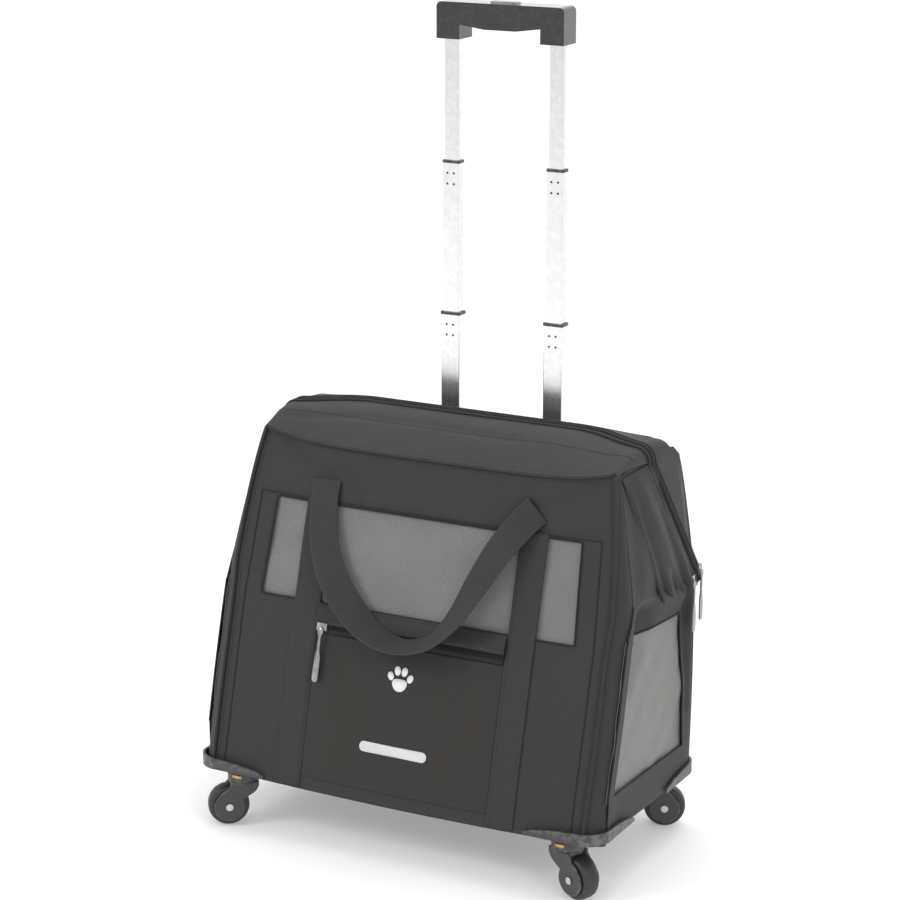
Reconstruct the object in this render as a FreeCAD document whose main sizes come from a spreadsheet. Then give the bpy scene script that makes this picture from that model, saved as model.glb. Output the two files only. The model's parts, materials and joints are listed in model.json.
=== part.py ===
import FreeCAD, Part
import math
import os
import re
import Sketcher

# A soft-sided pet carrier on four casters with a telescopic trolley handle.
# Millimetres, +X to the right, +Y to the back, +Z up.
# The origin lies on the floor under the middle of the bag.

doc = FreeCAD.newDocument("PetCarrier")
sheet = doc.addObject("Spreadsheet::Sheet", "Sizes")

SIZES = {
    # bag
    "bag_length": 490,
    "bag_depth": 256,
    "floor_gap": 67,
    "front_rise": 372,
    "top_setback": 104,
    "top_inset": 32,
    "ridge_rise": 15,
    "ridge_setback": 66,
    "back_rise": 365,
    "back_inset": 3,
    "corner_radius": 23,
    "panel_wall": 4,
    "skin_wall": 3,
    "piece_gap": 0.3,
    "seam_gap": 1.5,
    "edge_margin": 8,
    # floor of the cabin
    "board_wall": 4,
    "mat_wall": 18,
    "mat_margin": 8,
    "cover_wall": 3.4,
    "notch_length": 88,
    "notch_depth": 68,
    # front panel layout, measured up the leaning panel from the floor edge
    "band_inner": 115,
    "band_width": 30,
    "band_wall": 2,
    "band_top": 345,
    "window_low": 202,
    "window_high": 311,
    "side_window_low": 190,
    "side_window_high": 184,
    "mesh_wall": 1.6,
    "mesh_gap": 0.2,
    "pocket_low": 14,
    "pocket_high": 198,
    "pocket_wall": 5,
    "zip_level": 177,
    # end windows
    "end_window_inset": 36,
    "end_window_low": 117,
    "end_window_rise": 144,
    "end_window_slope": 28,
    "end_window_slant": 30,
    # mouth frames
    "hinge_inset": 16,
    "hinge_rise": 226,
    "frame_rod": 4,
    "frame_eye": 12,
    "eye_wall": 3.4,
    "frame_corner": 24,
    "frame_spacing": 5,
    "ridge_half_gap": 5,
    "rivet_diameter": 5,
    "rivet_clearance": 0.05,
    "flap_start": 5,
    "flap_clearance": 14,
    "ear_wall": 2,
    "ear_drop": 150,
    "ear_reach": 40,
    # trolley handle
    "tube_spacing": 127,
    "tube_wide": 17,
    "tube_deep": 9.6,
    "tube_wall": 1.2,
    "tube_gap": 0.35,
    "tube_overlap": 45,
    "tube_lowest": 80,
    "stage_one_lift": 116,
    "stage_two_lift": 170,
    "stage_three_lift": 137,
    "collar_rise": 3,
    "collar_lip": 1,
    "cover_overhang": 14,
    "cover_skin": 3,
    "bezel_wall": 6,
    "foot_wall": 10,
    # grip
    "grip_length": 153,
    "grip_depth": 30,
    "grip_rise": 40,
    "grip_leg_width": 28,
    "grip_leg_drop": 12,
    "grip_split": 18,
    "grip_socket": 14,
    "grip_edge": 6,
    "button_length": 32,
    "button_width": 13,
    "button_proud": 2,
    "button_travel": 3,
    "button_rise": 9,
    "button_clearance": 0.3,
    "spring_radius": 4,
    "spring_wire": 1,
    # casters
    "caster_side_inset": 45,
    "caster_end_inset": 24,
    "wheel_diameter": 46,
    "wheel_width": 20,
    "hub_diameter": 28,
    "hub_edge": 0.6,
    "tyre_round": 4,
    "axle_diameter": 5,
    "axle_head_radius": 4,
    "axle_head_wall": 1,
    "axle_clearance": 0.05,
    "wheel_side_gap": 1.2,
    "fork_wall": 3,
    "fork_disc": 34,
    "fork_arm": 24,
    "caster_trail": 17.5,
    "head_diameter": 34,
    "head_wall": 4,
    "head_clearance": 2,
    "pin_diameter": 8,
    "pin_head": 13,
    "boss_diameter": 36,
    "swivel_gap": 0.5,
    "yaw_front_left": 37,
    "yaw_front_right": 157,
    "yaw_back_left": 30,
    "yaw_back_right": 204,
    "bracket_wall": 3,
    "bracket_rim": 13,
    "bracket_reach": 86,
    "bracket_plate_length": 86,
    "bracket_plate_depth": 66,
    # carry handles
    "handle_outer": 142,
    "webbing_width": 34,
    "webbing_wall": 3,
    "handle_top": 338,
    "handle_drop": 177,
    "handle_band": 26,
    "handle_bottom": 124,
    "handle_corner": 30,
    "handle_tilt": 5,
    "handle_standoff": 3,
    "back_handle_tilt": 9,
    "back_handle_drop": 180,
    # zip pulls
    "slider_length": 12,
    "slider_width": 8,
    "slider_wall": 3,
    "pull_width": 7,
    "pull_wall": 2,
    "pocket_pull_length": 62,
    "main_pull_length": 58,
    "front_slider_back": 98,
    "back_slider_back": 117,
    "front_slider_drop": 0,
    "back_slider_drop": 8,
}

# Lengths and angles worked out from the driving sizes.
DERIVED = {
    "half_length": "bag_length / 2",
    "half_depth": "bag_depth / 2",
    "lean": "atan(top_setback / front_rise)",
    "panel_height": "sqrt(front_rise ^ 2 + top_setback ^ 2)",
    "piping_back": "top_setback - half_depth",
    "piping_high": "floor_gap + front_rise",
    "ridge_high": "piping_high + ridge_rise",
    "back_face": "half_depth - back_inset",
    "back_high": "floor_gap + back_rise",
    "front_bottom": "(cover_wall + piece_gap + panel_wall * sin(lean)) / cos(lean)",
    "end_inner": "half_length - panel_wall - seam_gap / 2",
    "end_outer": "end_inner + skin_wall",
    "hinge_back": "half_depth - hinge_inset",
    "hinge_high": "floor_gap + hinge_rise",
    "bar_high": "ridge_high - skin_wall",
    "front_bar_back": "ridge_setback - ridge_half_gap",
    "back_bar_back": "ridge_setback + ridge_half_gap",
    "front_frame_side": "end_inner - frame_rod / 2 - seam_gap",
    "back_frame_side": "front_frame_side - frame_spacing",
    "knee_high": "hinge_high + piece_gap",
    "top_half": "half_length - top_inset",
    "end_window_back": "half_depth - end_window_inset",
    "end_window_front": "end_window_back - end_window_slant",
    "caster_across": "bag_length - 2 * caster_side_inset",
    "caster_along": "bag_depth - 2 * caster_end_inset",
    "frame_splay": "(end_inner - top_half) / (bar_high - hinge_high)",
    "flap_half": "top_half - seam_gap * 2",
    "board_low": "floor_gap + cover_wall + piece_gap",
    "mat_low": "board_low + board_wall + piece_gap",
    "stage_two_wide": "tube_wide + 2 * (tube_wall + tube_gap)",
    "stage_two_deep": "tube_deep + 2 * (tube_wall + tube_gap)",
    "stage_one_wide": "stage_two_wide + 2 * (tube_wall + tube_gap)",
    "stage_one_deep": "stage_two_deep + 2 * (tube_wall + tube_gap)",
    "outer_wide": "stage_one_wide + 2 * (tube_wall + tube_gap)",
    "outer_deep": "stage_one_deep + 2 * (tube_wall + tube_gap)",
    "tube_back": "back_face + piece_gap + outer_deep / 2",
    "stage_one_high": "back_high + stage_one_lift",
    "stage_two_high": "stage_one_high + stage_two_lift",
    "stage_three_high": "stage_two_high + stage_three_lift",
    "bar_low": "stage_three_high + grip_leg_drop",
    "split_high": "stage_three_high + grip_split",
    "grip_high": "stage_three_high + grip_rise",
    "button_low": "grip_high + button_proud - button_rise",
    "button_floor": "button_low - button_travel - 1",
    "wheel_radius": "wheel_diameter / 2",
    "head_low": "wheel_diameter + head_clearance",
    "head_high": "head_low + head_wall",
    "fork_inner": "wheel_width / 2 + wheel_side_gap",
    "cover_back": "tube_back + outer_deep / 2 + 1 + cover_skin",
    "handle_pivot_off": "band_wall + handle_standoff",
}


def expand(text):
    """Write a formula out with every name as a cell of the sheet."""
    def swap(match):
        word = match.group(0)
        if word in DERIVED:
            return "(" + expand(DERIVED[word]) + ")"
        if word in SIZES:
            return "Sizes." + word
        return word
    return re.sub(r"[a-z][a-z_]+", swap, str(text))


def number(text):
    """The present value of a formula."""
    result = sheet.evalExpression(expand(text))
    return float(getattr(result, "Value", result))


def bind(item, prop, text):
    """Tie one property of a document object to the sheet."""
    item.setExpression(prop, expand(text))


for row, (alias, size) in enumerate(SIZES.items(), start=1):
    sheet.set(f"A{row}", alias)
    sheet.set(f"B{row}", str(size))
    sheet.setAlias(f"B{row}", alias)
doc.recompute()

AXES = {"X": FreeCAD.Vector(1, 0, 0), "Y": FreeCAD.Vector(0, 1, 0), "Z": FreeCAD.Vector(0, 0, 1)}
nodes = []


def place(item, base=("0", "0", "0"), axis="X", angle="0 deg"):
    """Put an object at a bound place, turned by a bound angle about one axis."""
    item.Placement = FreeCAD.Placement(FreeCAD.Vector(0, 0, 0), FreeCAD.Rotation(AXES[axis], 1))
    for letter, text in zip("xyz", base):
        bind(item, f"Placement.Base.{letter}", text)
    bind(item, "Placement.Rotation.Angle", angle)
    return item


def keep(item, label):
    """Name a finished sub-part, which becomes one node."""
    item.Label = label
    nodes.append(item)
    return item


def box(name, size, corner):
    """A block with its lowest corner at a bound place."""
    item = doc.addObject("Part::Box", name)
    for prop, text in zip(("Length", "Width", "Height"), size):
        bind(item, prop, text)
    return place(item, corner)


def rod(name, radius, length, start, axis="Z"):
    """A cylinder that starts at a bound place and runs along one axis."""
    item = doc.addObject("Part::Cylinder", name)
    bind(item, "Radius", radius)
    bind(item, "Height", length)
    turn = {"X": ("Y", "90 deg"), "Y": ("X", "-90 deg"), "Z": ("X", "0 deg")}[axis]
    return place(item, start, *turn)


def fuse(name, items):
    """Several solids joined into one."""
    item = doc.addObject("Part::MultiFuse", name)
    item.Shapes = items
    return item


def cut(name, base, tool):
    """One solid with another taken away."""
    item = doc.addObject("Part::Cut", name)
    item.Base = base
    item.Tool = tool
    return item


def common(name, base, tool):
    """The part that two solids share."""
    item = doc.addObject("Part::Common", name)
    item.Base = base
    item.Tool = tool
    return item


def add_sketch(body, name, plane, start="0"):
    """An empty sketch on one of the body's planes, moved along the plane's normal."""
    sketch = body.newObject("Sketcher::SketchObject", name)
    support = next(f for f in body.Origin.OriginFeatures if f.Role == plane + "_Plane")
    sketch.AttachmentSupport = [(support, "")]
    sketch.MapMode = "FlatFace"
    bind(sketch, "AttachmentOffset.Base.z", start)
    return sketch


def draw_outline(sketch, points):
    """A closed outline of straight runs with every corner bound to the sheet."""
    first = sketch.GeometryCount
    spots = [(number(across), number(up)) for across, up in points]
    count = len(points)
    for index, spot in enumerate(spots):
        after = spots[(index + 1) % count]
        line = Part.LineSegment(FreeCAD.Vector(*spot, 0), FreeCAD.Vector(*after, 0))
        sketch.addGeometry(line, False)
    for index in range(count):
        following = first + (index + 1) % count
        sketch.addConstraint(Sketcher.Constraint("Coincident", first + index, 2, following, 1))
    for index, texts in enumerate(points):
        for kind, text, size in zip(("DistanceX", "DistanceY"), texts, spots[index]):
            rule = sketch.addConstraint(Sketcher.Constraint(kind, -1, 1, first + index, 1, size))
            bind(sketch, f"Constraints[{rule}]", text)


def draw_circle(sketch, across, up, radius):
    """A circle with its centre and radius bound to the sheet."""
    index = sketch.GeometryCount
    centre = FreeCAD.Vector(number(across), number(up), 0)
    sketch.addGeometry(Part.Circle(centre, AXES["Z"], number(radius)), False)
    rules = (
        (Sketcher.Constraint("DistanceX", -1, 1, index, 3, centre.x), across),
        (Sketcher.Constraint("DistanceY", -1, 1, index, 3, centre.y), up),
        (Sketcher.Constraint("Radius", index, number(radius)), radius),
    )
    for rule, text in rules:
        bind(sketch, f"Constraints[{sketch.addConstraint(rule)}]", text)


def pad(body, sketch, length, name="Pad"):
    """Pad a sketch along its plane's normal."""
    feature = body.newObject("PartDesign::Pad", name)
    feature.Profile = sketch
    bind(feature, "Length", length)
    body.Tip = feature
    return feature


def corner_edges(shape, direction, spot):
    """Names of the edges along a direction that stand over one corner of an outline."""
    found = []
    for index, edge in enumerate(shape.Edges, start=1):
        ends = [vertex.Point for vertex in edge.Vertexes]
        if len(ends) != 2:
            continue
        along = ends[1] - ends[0]
        if along.Length < 1e-6 or along.cross(direction).Length > 1e-6 * along.Length:
            continue
        offset = ends[0] - spot
        if offset.cross(direction).Length < 1e-4:
            found.append(f"Edge{index}")
    return found


PLANE_AXES = {
    "XY": (AXES["X"], AXES["Y"], AXES["Z"]),
    "XZ": (AXES["X"], AXES["Z"], AXES["Y"] * -1),
    "YZ": (AXES["Y"], AXES["Z"], AXES["X"]),
}


def round_corners(body, plane, corners, radius):
    """Round the padded edges over the given outline corners."""
    across, up, normal = PLANE_AXES[plane]
    doc.recompute()
    base = body.Tip
    names = []
    for corner in corners:
        spot = across * number(corner[0]) + up * number(corner[1])
        names += corner_edges(base.Shape, normal, spot)
    feature = body.newObject("PartDesign::Fillet", "Rounding")
    feature.Base = (base, names)
    bind(feature, "Radius", radius)
    body.Tip = feature
    return feature


def plate(label, plane, outlines, start, wall, rounds=()):
    """A body padded from outlines; inner outlines become openings."""
    body = doc.addObject("PartDesign::Body", label)
    sketch = add_sketch(body, "Outline", plane, start)
    for outline in outlines:
        draw_outline(sketch, outline)
    pad(body, sketch, wall)
    for radius, corners in rounds:
        round_corners(body, plane, corners, radius)
    return body


def rectangle(left, low, right, high):
    """Four corners, counter-clockwise from the lower left."""
    return [(left, low), (right, low), (right, high), (left, high)]


def mirrored(points):
    """The same outline on the other side of the middle."""
    return [(f"-({across})", up) for across, up in points]


def on_panel(item):
    """Lay an object made upright onto the leaning front panel."""
    return place(item, ("0", "-half_depth", "floor_gap"), "X", "-lean")


# ---------------------------------------------------------------- cabin floor
cover_outline = [
    ("-end_inner", "-half_depth + notch_depth"),
    ("-half_length + notch_length", "-half_depth + notch_depth"),
    ("-half_length + notch_length", "-half_depth + edge_margin"),
    ("half_length - notch_length", "-half_depth + edge_margin"),
    ("half_length - notch_length", "-half_depth + notch_depth"),
    ("end_inner", "-half_depth + notch_depth"),
    ("end_inner", "half_depth - notch_depth"),
    ("half_length - notch_length", "half_depth - notch_depth"),
    ("half_length - notch_length", "back_face"),
    ("-half_length + notch_length", "back_face"),
    ("-half_length + notch_length", "half_depth - notch_depth"),
    ("-end_inner", "half_depth - notch_depth"),
]
keep(plate("bottom_cover", "XY", [cover_outline], "floor_gap", "cover_wall"), "bottom_cover")

board_outline = rectangle(
    "-end_inner + seam_gap", "-half_depth + edge_margin + seam_gap",
    "end_inner - seam_gap", "back_face - panel_wall - seam_gap",
)
board = plate(
    "base_board", "XY", [board_outline], "board_low", "board_wall",
    [("corner_radius / 2", board_outline)],
)
keep(board, "base_board")

mat_outline = rectangle(
    "-end_inner + mat_margin", "-half_depth + mat_margin * 2",
    "end_inner - mat_margin", "back_face - panel_wall - mat_margin",
)
mat = plate(
    "base_mat", "XY", [mat_outline], "mat_low", "mat_wall",
    [("corner_radius", mat_outline)],
)
keep(mat, "base_mat")

# ---------------------------------------------------------------- front panel
# Its lower corners are clipped, so that it stands inside the rounded corner shoes.
panel_outline = [
    ("-half_length + corner_radius", "front_bottom"),
    ("half_length - corner_radius", "front_bottom"),
    ("half_length - seam_gap * 3", "front_bottom + 2 * bracket_rim"),
    ("top_half", "panel_height - edge_margin"),
    ("-top_half", "panel_height - edge_margin"),
    ("-half_length + seam_gap * 3", "front_bottom + 2 * bracket_rim"),
]


def front_windows(inset):
    """The three window outlines of the front panel, drawn in by an inset."""
    inner = f"band_inner + band_width + {inset}"
    side = [
        (inner, f"window_low + {inset}"),
        (f"side_window_low - {inset}", f"window_low + {inset}"),
        (f"side_window_high - {inset}", f"window_high - {inset}"),
        (inner, f"window_high - {inset}"),
    ]
    centre = rectangle(
        f"-band_inner + {inset}", f"window_low + {inset}",
        f"band_inner - {inset}", f"window_high - {inset}",
    )
    return [centre, side, mirrored(side)]


front_panel = plate(
    "front_panel", "XZ", [panel_outline] + front_windows("0"), "-panel_wall", "panel_wall",
)
keep(on_panel(front_panel), "front_panel")

front_mesh = plate("front_mesh", "XZ", front_windows("mesh_gap"), "-mesh_wall - 1", "mesh_wall")
keep(on_panel(front_mesh), "front_mesh")

pocket_outline = rectangle(
    "-band_inner + seam_gap", "pocket_low", "band_inner - seam_gap", "pocket_high",
)
front_pocket = plate(
    "front_pocket", "XZ", [pocket_outline], "piece_gap", "pocket_wall",
    [("edge_margin", pocket_outline)],
)
keep(on_panel(front_pocket), "front_pocket")

band = rectangle("band_inner", "front_bottom", "band_inner + band_width", "band_top")
front_bands = plate("front_bands", "XZ", [band, mirrored(band)], "piece_gap", "band_wall")
keep(on_panel(front_bands), "front_bands")


# ---------------------------------------------------------------- top and back
def make_front_flap():
    """The top flap from the front piping towards the ridge, hinged along the piping."""
    reach = (
        "sqrt((front_bar_back - piping_back) ^ 2 + (bar_high - piping_high) ^ 2)"
        " - frame_rod / 2 - flap_clearance"
    )
    outline = rectangle("-flap_half", "flap_start", "flap_half", reach)
    body = plate(
        "front_flap", "XY", [outline], "-skin_wall", "skin_wall",
        [("edge_margin", outline[2:])],
    )
    rise = "atan((bar_high - piping_high) / (front_bar_back - piping_back))"
    return place(body, ("0", "piping_back", "piping_high"), "X", rise)


keep(make_front_flap(), "front_flap")

back_flap_outline = [
    ("back_bar_back + edge_margin", "bar_high - skin_wall"),
    ("back_face - seam_gap", "back_high"),
    ("back_face - seam_gap", "back_high - skin_wall"),
    ("back_bar_back + edge_margin", "bar_high - 2 * skin_wall"),
]
# The flap narrows towards the ridge, so that the bend of the back frame swings past its ends.
back_flap_plan = [
    ("-flap_half + frame_corner", "back_bar_back"),
    ("flap_half - frame_corner", "back_bar_back"),
    ("flap_half - edge_margin", "half_depth"),
    ("-flap_half + edge_margin", "half_depth"),
]
back_flap = common(
    "back_flap",
    plate("back_flap_profile", "YZ", [back_flap_outline], "-flap_half", "2 * flap_half"),
    plate("back_flap_ends", "XY", [back_flap_plan], "hinge_high", "ridge_high - hinge_high"),
)
keep(back_flap, "back_flap")

back_top = "back_high - skin_wall - seam_gap"
back_side = "end_inner - piece_gap * 2"
back_top_side = f"{back_side} - frame_splay * ({back_top} - hinge_high)"
back_outline = [
    ("-half_length + corner_radius", "board_low"),
    ("half_length - corner_radius", "board_low"),
    (back_side, "board_low + 2 * bracket_rim"),
    (back_side, "hinge_high"),
    (back_top_side, back_top),
    (f"-({back_top_side})", back_top),
    (f"-({back_side})", "hinge_high"),
    (f"-({back_side})", "board_low + 2 * bracket_rim"),
]
back_panel = plate("back_panel", "XZ", [back_outline], "-back_face", "panel_wall")
keep(back_panel, "back_panel")


# ---------------------------------------------------------------- end panels
def end_window(inset):
    """The mesh window of an end panel, drawn in by an inset."""
    high = "end_window_low + end_window_rise"
    return [
        (f"-end_window_back + {inset}", f"end_window_low + {inset}"),
        (f"end_window_back - {inset}", f"end_window_low + {inset}"),
        (f"end_window_back - {inset}", f"{high} - end_window_slope - {inset}"),
        (f"end_window_back / 4 - {inset}", f"{high} - {inset}"),
        (f"-end_window_front + {inset}", f"{high} - {inset}"),
    ]


end_outline = [
    ("-half_depth + edge_margin * 2", "board_low + bracket_rim"),
    ("-half_depth + corner_radius", "board_low"),
    ("half_depth - corner_radius", "board_low"),
    ("back_face - seam_gap", "board_low + 2 * bracket_rim"),
    ("back_face - panel_wall", "back_high - skin_wall"),
    ("ridge_setback", "bar_high - skin_wall"),
    ("piping_back + edge_margin", "piping_high - edge_margin - seam_gap"),
]


def bent_wall(name, sign, inset, wall, low):
    """A wall that stands upright to the frame hinge and then leans in to the top."""
    face = f"end_inner + {inset}"
    top = "ridge_high"
    shift = f"frame_splay * ({top} - knee_high)"
    section = [
        (f"{sign} * ({face})", low),
        (f"{sign} * ({face} + {wall})", low),
        (f"{sign} * ({face} + {wall})", "knee_high"),
        (f"{sign} * ({face} + {wall} - {shift})", top),
        (f"{sign} * ({face} - {shift})", top),
        (f"{sign} * ({face})", "knee_high"),
    ]
    return plate(name, "XZ", [section], "-half_depth", "2 * half_depth")


for side, sign, mesh_face in (
    ("left", "-1", "-end_outer + mesh_gap"),
    ("right", "1", "end_outer - mesh_gap - mesh_wall"),
):
    label = f"end_panel_{side}"
    outlines = [end_outline, end_window("0")]
    profile = plate(label + "_profile", "YZ", outlines, "-half_length", "2 * half_length")
    wall = bent_wall(label + "_wall", sign, "0", "skin_wall", "board_low - 1")
    keep(common(label, profile, wall), label)
    label = f"end_mesh_{side}"
    keep(plate(label, "YZ", [end_window("mesh_gap")], mesh_face, "mesh_wall"), label)


# ---------------------------------------------------------------- mouth frames
def make_frame(label, side_place, bar_back):
    """A U-shaped rod with an eye at each foot, which turns on the hinge rivets."""
    rise = f"sqrt(({bar_back} - hinge_back) ^ 2 + (bar_high - hinge_high) ^ 2)"
    body = doc.addObject("PartDesign::Body", label + "_rod")
    path = add_sketch(body, "Path", "XZ")
    side = number(side_place)
    top = number(rise)
    bend = number("frame_corner")
    foot = number("frame_eye") / 2 - 1
    splay = math.atan(number("frame_splay"))
    knee = top - bend + bend * math.sin(splay)
    shoulder = side - (knee - foot) * math.tan(splay)
    middle = shoulder - bend * math.cos(splay)
    # left leg, left bend, cross bar, right bend, right leg
    path.addGeometry(Part.LineSegment(
        FreeCAD.Vector(-side, foot, 0), FreeCAD.Vector(-shoulder, knee, 0)))
    path.addGeometry(Part.ArcOfCircle(
        Part.Circle(FreeCAD.Vector(-middle, top - bend, 0), AXES["Z"], bend),
        math.pi / 2, math.pi - splay))
    path.addGeometry(Part.LineSegment(
        FreeCAD.Vector(-middle, top, 0), FreeCAD.Vector(middle, top, 0)))
    path.addGeometry(Part.ArcOfCircle(
        Part.Circle(FreeCAD.Vector(middle, top - bend, 0), AXES["Z"], bend),
        splay, math.pi / 2))
    path.addGeometry(Part.LineSegment(
        FreeCAD.Vector(shoulder, knee, 0), FreeCAD.Vector(side, foot, 0)))
    rules = [
        (Sketcher.Constraint("Tangent", 0, 2, 1, 2), None),
        (Sketcher.Constraint("Tangent", 1, 1, 2, 1), None),
        (Sketcher.Constraint("Tangent", 2, 2, 3, 2), None),
        (Sketcher.Constraint("Tangent", 3, 1, 4, 1), None),
        (Sketcher.Constraint("Horizontal", 2), None),
        (Sketcher.Constraint("Radius", 1, bend), "frame_corner"),
        (Sketcher.Constraint("Radius", 3, bend), "frame_corner"),
        (Sketcher.Constraint("DistanceX", -1, 1, 0, 1, -side), f"-({side_place})"),
        (Sketcher.Constraint("DistanceY", -1, 1, 0, 1, foot), "frame_eye / 2 - 1"),
        (Sketcher.Constraint("DistanceX", -1, 1, 4, 2, side), side_place),
        (Sketcher.Constraint("DistanceY", -1, 1, 4, 2, foot), "frame_eye / 2 - 1"),
        (Sketcher.Constraint("DistanceY", -1, 1, 2, 1, top), rise),
        (Sketcher.Constraint("Angle", 0, math.pi / 2 - splay), "90 deg - atan(frame_splay)"),
        (Sketcher.Constraint("Angle", 4, splay - math.pi / 2), "atan(frame_splay) - 90 deg"),
    ]
    for rule, text in rules:
        index = path.addConstraint(rule)
        if text:
            bind(path, f"Constraints[{index}]", text)
    section = add_sketch(body, "Section", "XY", "frame_eye / 2 - 1")
    draw_circle(section, f"-({side_place})", "0", "frame_rod / 2")
    doc.recompute()
    pipe = body.newObject("PartDesign::AdditivePipe", "Rod")
    pipe.Profile = section
    pipe.Spine = (path, [])
    body.Tip = pipe
    pieces = [body]
    holes = []
    for name, centre in (("left", f"-({side_place})"), ("right", side_place)):
        start = (f"{centre} - eye_wall / 2", "0", "0")
        pieces.append(rod(f"{label}_eye_{name}", "frame_eye / 2", "eye_wall", start, "X"))
        start = (f"{centre} - frame_rod", "0", "0")
        radius = "rivet_diameter / 2 + rivet_clearance"
        holes.append(rod(f"{label}_bore_{name}", radius, "frame_rod * 2", start, "X"))
    solid = fuse(label + "_solid", pieces)
    item = cut(label, solid, fuse(label + "_bores", holes))
    turn = f"atan((hinge_back - ({bar_back})) / (bar_high - hinge_high))"
    return place(item, ("0", "hinge_back", "hinge_high"), "X", turn)


keep(make_frame("front_frame", "front_frame_side", "front_bar_back"), "front_frame")
keep(make_frame("back_frame", "back_frame_side", "back_bar_back"), "back_frame")

rivet_parts = []
for side, sign in (("left", "-1"), ("right", "1")):
    shank_from = "back_frame_side - frame_rod / 2 - seam_gap"
    shank_to = "end_inner - piece_gap / 2 - rivet_diameter / 2 * frame_splay"
    shank = f"{shank_to} - ({shank_from})"
    start = shank_from if sign == "1" else f"-({shank_to})"
    rivet_parts.append(rod(f"rivet_{side}", "rivet_diameter / 2", shank, (start, "0", "0"), "X"))
    head_start = f"{shank_from} - 1" if sign == "1" else f"-({shank_from})"
    rivet_parts.append(rod(f"rivet_head_{side}", "rivet_diameter", "1", (head_start, "0", "0"), "X"))
rivets = place(fuse("frame_rivets", rivet_parts), ("0", "hinge_back", "hinge_high"))
keep(rivets, "frame_rivets")

ear_outline = [
    ("hinge_back - edge_margin", "hinge_high + edge_margin / 2"),
    ("front_bar_back", "bar_high - frame_rod"),
    ("piping_back + edge_margin", "piping_high - edge_margin"),
    ("piping_back - ear_reach / 4", "ridge_high - ear_drop + edge_margin * 2"),
    ("piping_back + ear_reach", "ridge_high - ear_drop"),
]


def make_ears():
    """The top flap's two ends, which hang down over the end panels."""
    profile = plate("ear_profile", "YZ", [ear_outline], "-half_length * 2", "4 * half_length")
    inset = "skin_wall + piece_gap"
    walls = [
        bent_wall(f"ear_wall_{name}", sign, inset, "ear_wall", "ridge_high - ear_drop * 2")
        for name, sign in (("left", "-1"), ("right", "1"))
    ]
    return common("end_ears", profile, fuse("ear_walls", walls))


keep(make_ears(), "end_ears")


# ---------------------------------------------------------------- trolley handle
def tube_pair(label, wide, deep, low, high, hole_wide, hole_deep):
    """Two rectangular tubes side by side, open at both ends."""
    outlines = []
    for sign in ("-1", "1"):
        centre = f"{sign} * tube_spacing / 2"
        for width, depth in ((wide, deep), (hole_wide, hole_deep)):
            outlines.append(rectangle(
                f"{centre} - ({width}) / 2", f"tube_back - ({depth}) / 2",
                f"{centre} + ({width}) / 2", f"tube_back + ({depth}) / 2",
            ))
    outer = outlines[0] + outlines[2]
    body = plate(
        label, "XY", outlines, low, f"{high} - ({low})", [("tube_wall * 1.5", outer)],
    )
    return keep(body, label)


def inner_size(size):
    """The hollow of a tube of a given outer size."""
    return f"({size}) - 2 * tube_wall"


def collar_hole(size):
    """A sliding hole round a tube of a given outer size."""
    return f"({size}) + 2 * tube_gap"


tube_pair(
    "outer_tubes", "outer_wide", "outer_deep", "tube_lowest", "back_high",
    inner_size("outer_wide"), inner_size("outer_deep"),
)
stages = (
    ("stage1", "stage_one", "back_high", "stage_one_high"),
    ("stage2", "stage_two", "stage_one_high", "stage_two_high"),
)
for label, stem, entry, top in stages:
    tube_pair(
        f"{label}_tubes", f"{stem}_wide", f"{stem}_deep", f"{entry} - tube_overlap", top,
        inner_size(f"{stem}_wide"), inner_size(f"{stem}_deep"),
    )
tube_pair(
    "stage3_tubes", "tube_wide", "tube_deep", "stage_two_high - tube_overlap",
    "stage_three_high + grip_socket", inner_size("tube_wide"), inner_size("tube_deep"),
)
collars = (
    ("collars_outer", "outer", "stage_one_wide", "stage_one_deep", "back_high"),
    ("collars_stage1", "stage_one", "stage_two_wide", "stage_two_deep", "stage_one_high"),
    ("collars_stage2", "stage_two", "tube_wide", "tube_deep", "stage_two_high"),
)
for label, stem, hole_wide, hole_deep, low in collars:
    tube_pair(
        label, f"{stem}_wide + collar_lip", f"{stem}_deep + collar_lip", low,
        f"{low} + collar_rise", collar_hole(hole_wide), collar_hole(hole_deep),
    )

cover_half = "tube_spacing / 2 + outer_wide / 2 + cover_overhang"
cover_section = [
    (f"-({cover_half})", "back_face + piece_gap"),
    (f"-({cover_half}) + cover_skin", "back_face + piece_gap"),
    (f"-({cover_half}) + cover_skin", "cover_back - cover_skin"),
    (f"{cover_half} - cover_skin", "cover_back - cover_skin"),
    (f"{cover_half} - cover_skin", "back_face + piece_gap"),
    (cover_half, "back_face + piece_gap"),
    (cover_half, "cover_back"),
    (f"-({cover_half})", "cover_back"),
]
trolley_cover = plate(
    "trolley_cover", "XY", [cover_section], "tube_lowest",
    "back_high - bezel_wall - tube_lowest - piece_gap",
    [("cover_skin * 2", cover_section[6:])],
)
keep(trolley_cover, "trolley_cover")


def across_tubes(label, low, wall, with_holes):
    """A plastic plate across both tubes, with or without holes for them."""
    outlines = [rectangle(
        f"-({cover_half})", "back_face + piece_gap", cover_half, "cover_back",
    )]
    if with_holes:
        for sign in ("-1", "1"):
            centre = f"{sign} * tube_spacing / 2"
            outlines.append(rectangle(
                f"{centre} - outer_wide / 2", "tube_back - outer_deep / 2",
                f"{centre} + outer_wide / 2", "tube_back + outer_deep / 2",
            ))
    if with_holes:
        outlines[0][0] = (f"-({cover_half})", "back_face + piece_gap / 2")
        outlines[0][1] = (cover_half, "back_face + piece_gap / 2")
    body = plate(label, "XY", outlines, low, wall, [("edge_margin / 2", outlines[0][2:])])
    return keep(body, label)


across_tubes("top_bezel", "back_high - bezel_wall", "bezel_wall", True)
across_tubes("tube_foot", "tube_lowest - foot_wall", "foot_wall", False)


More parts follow.
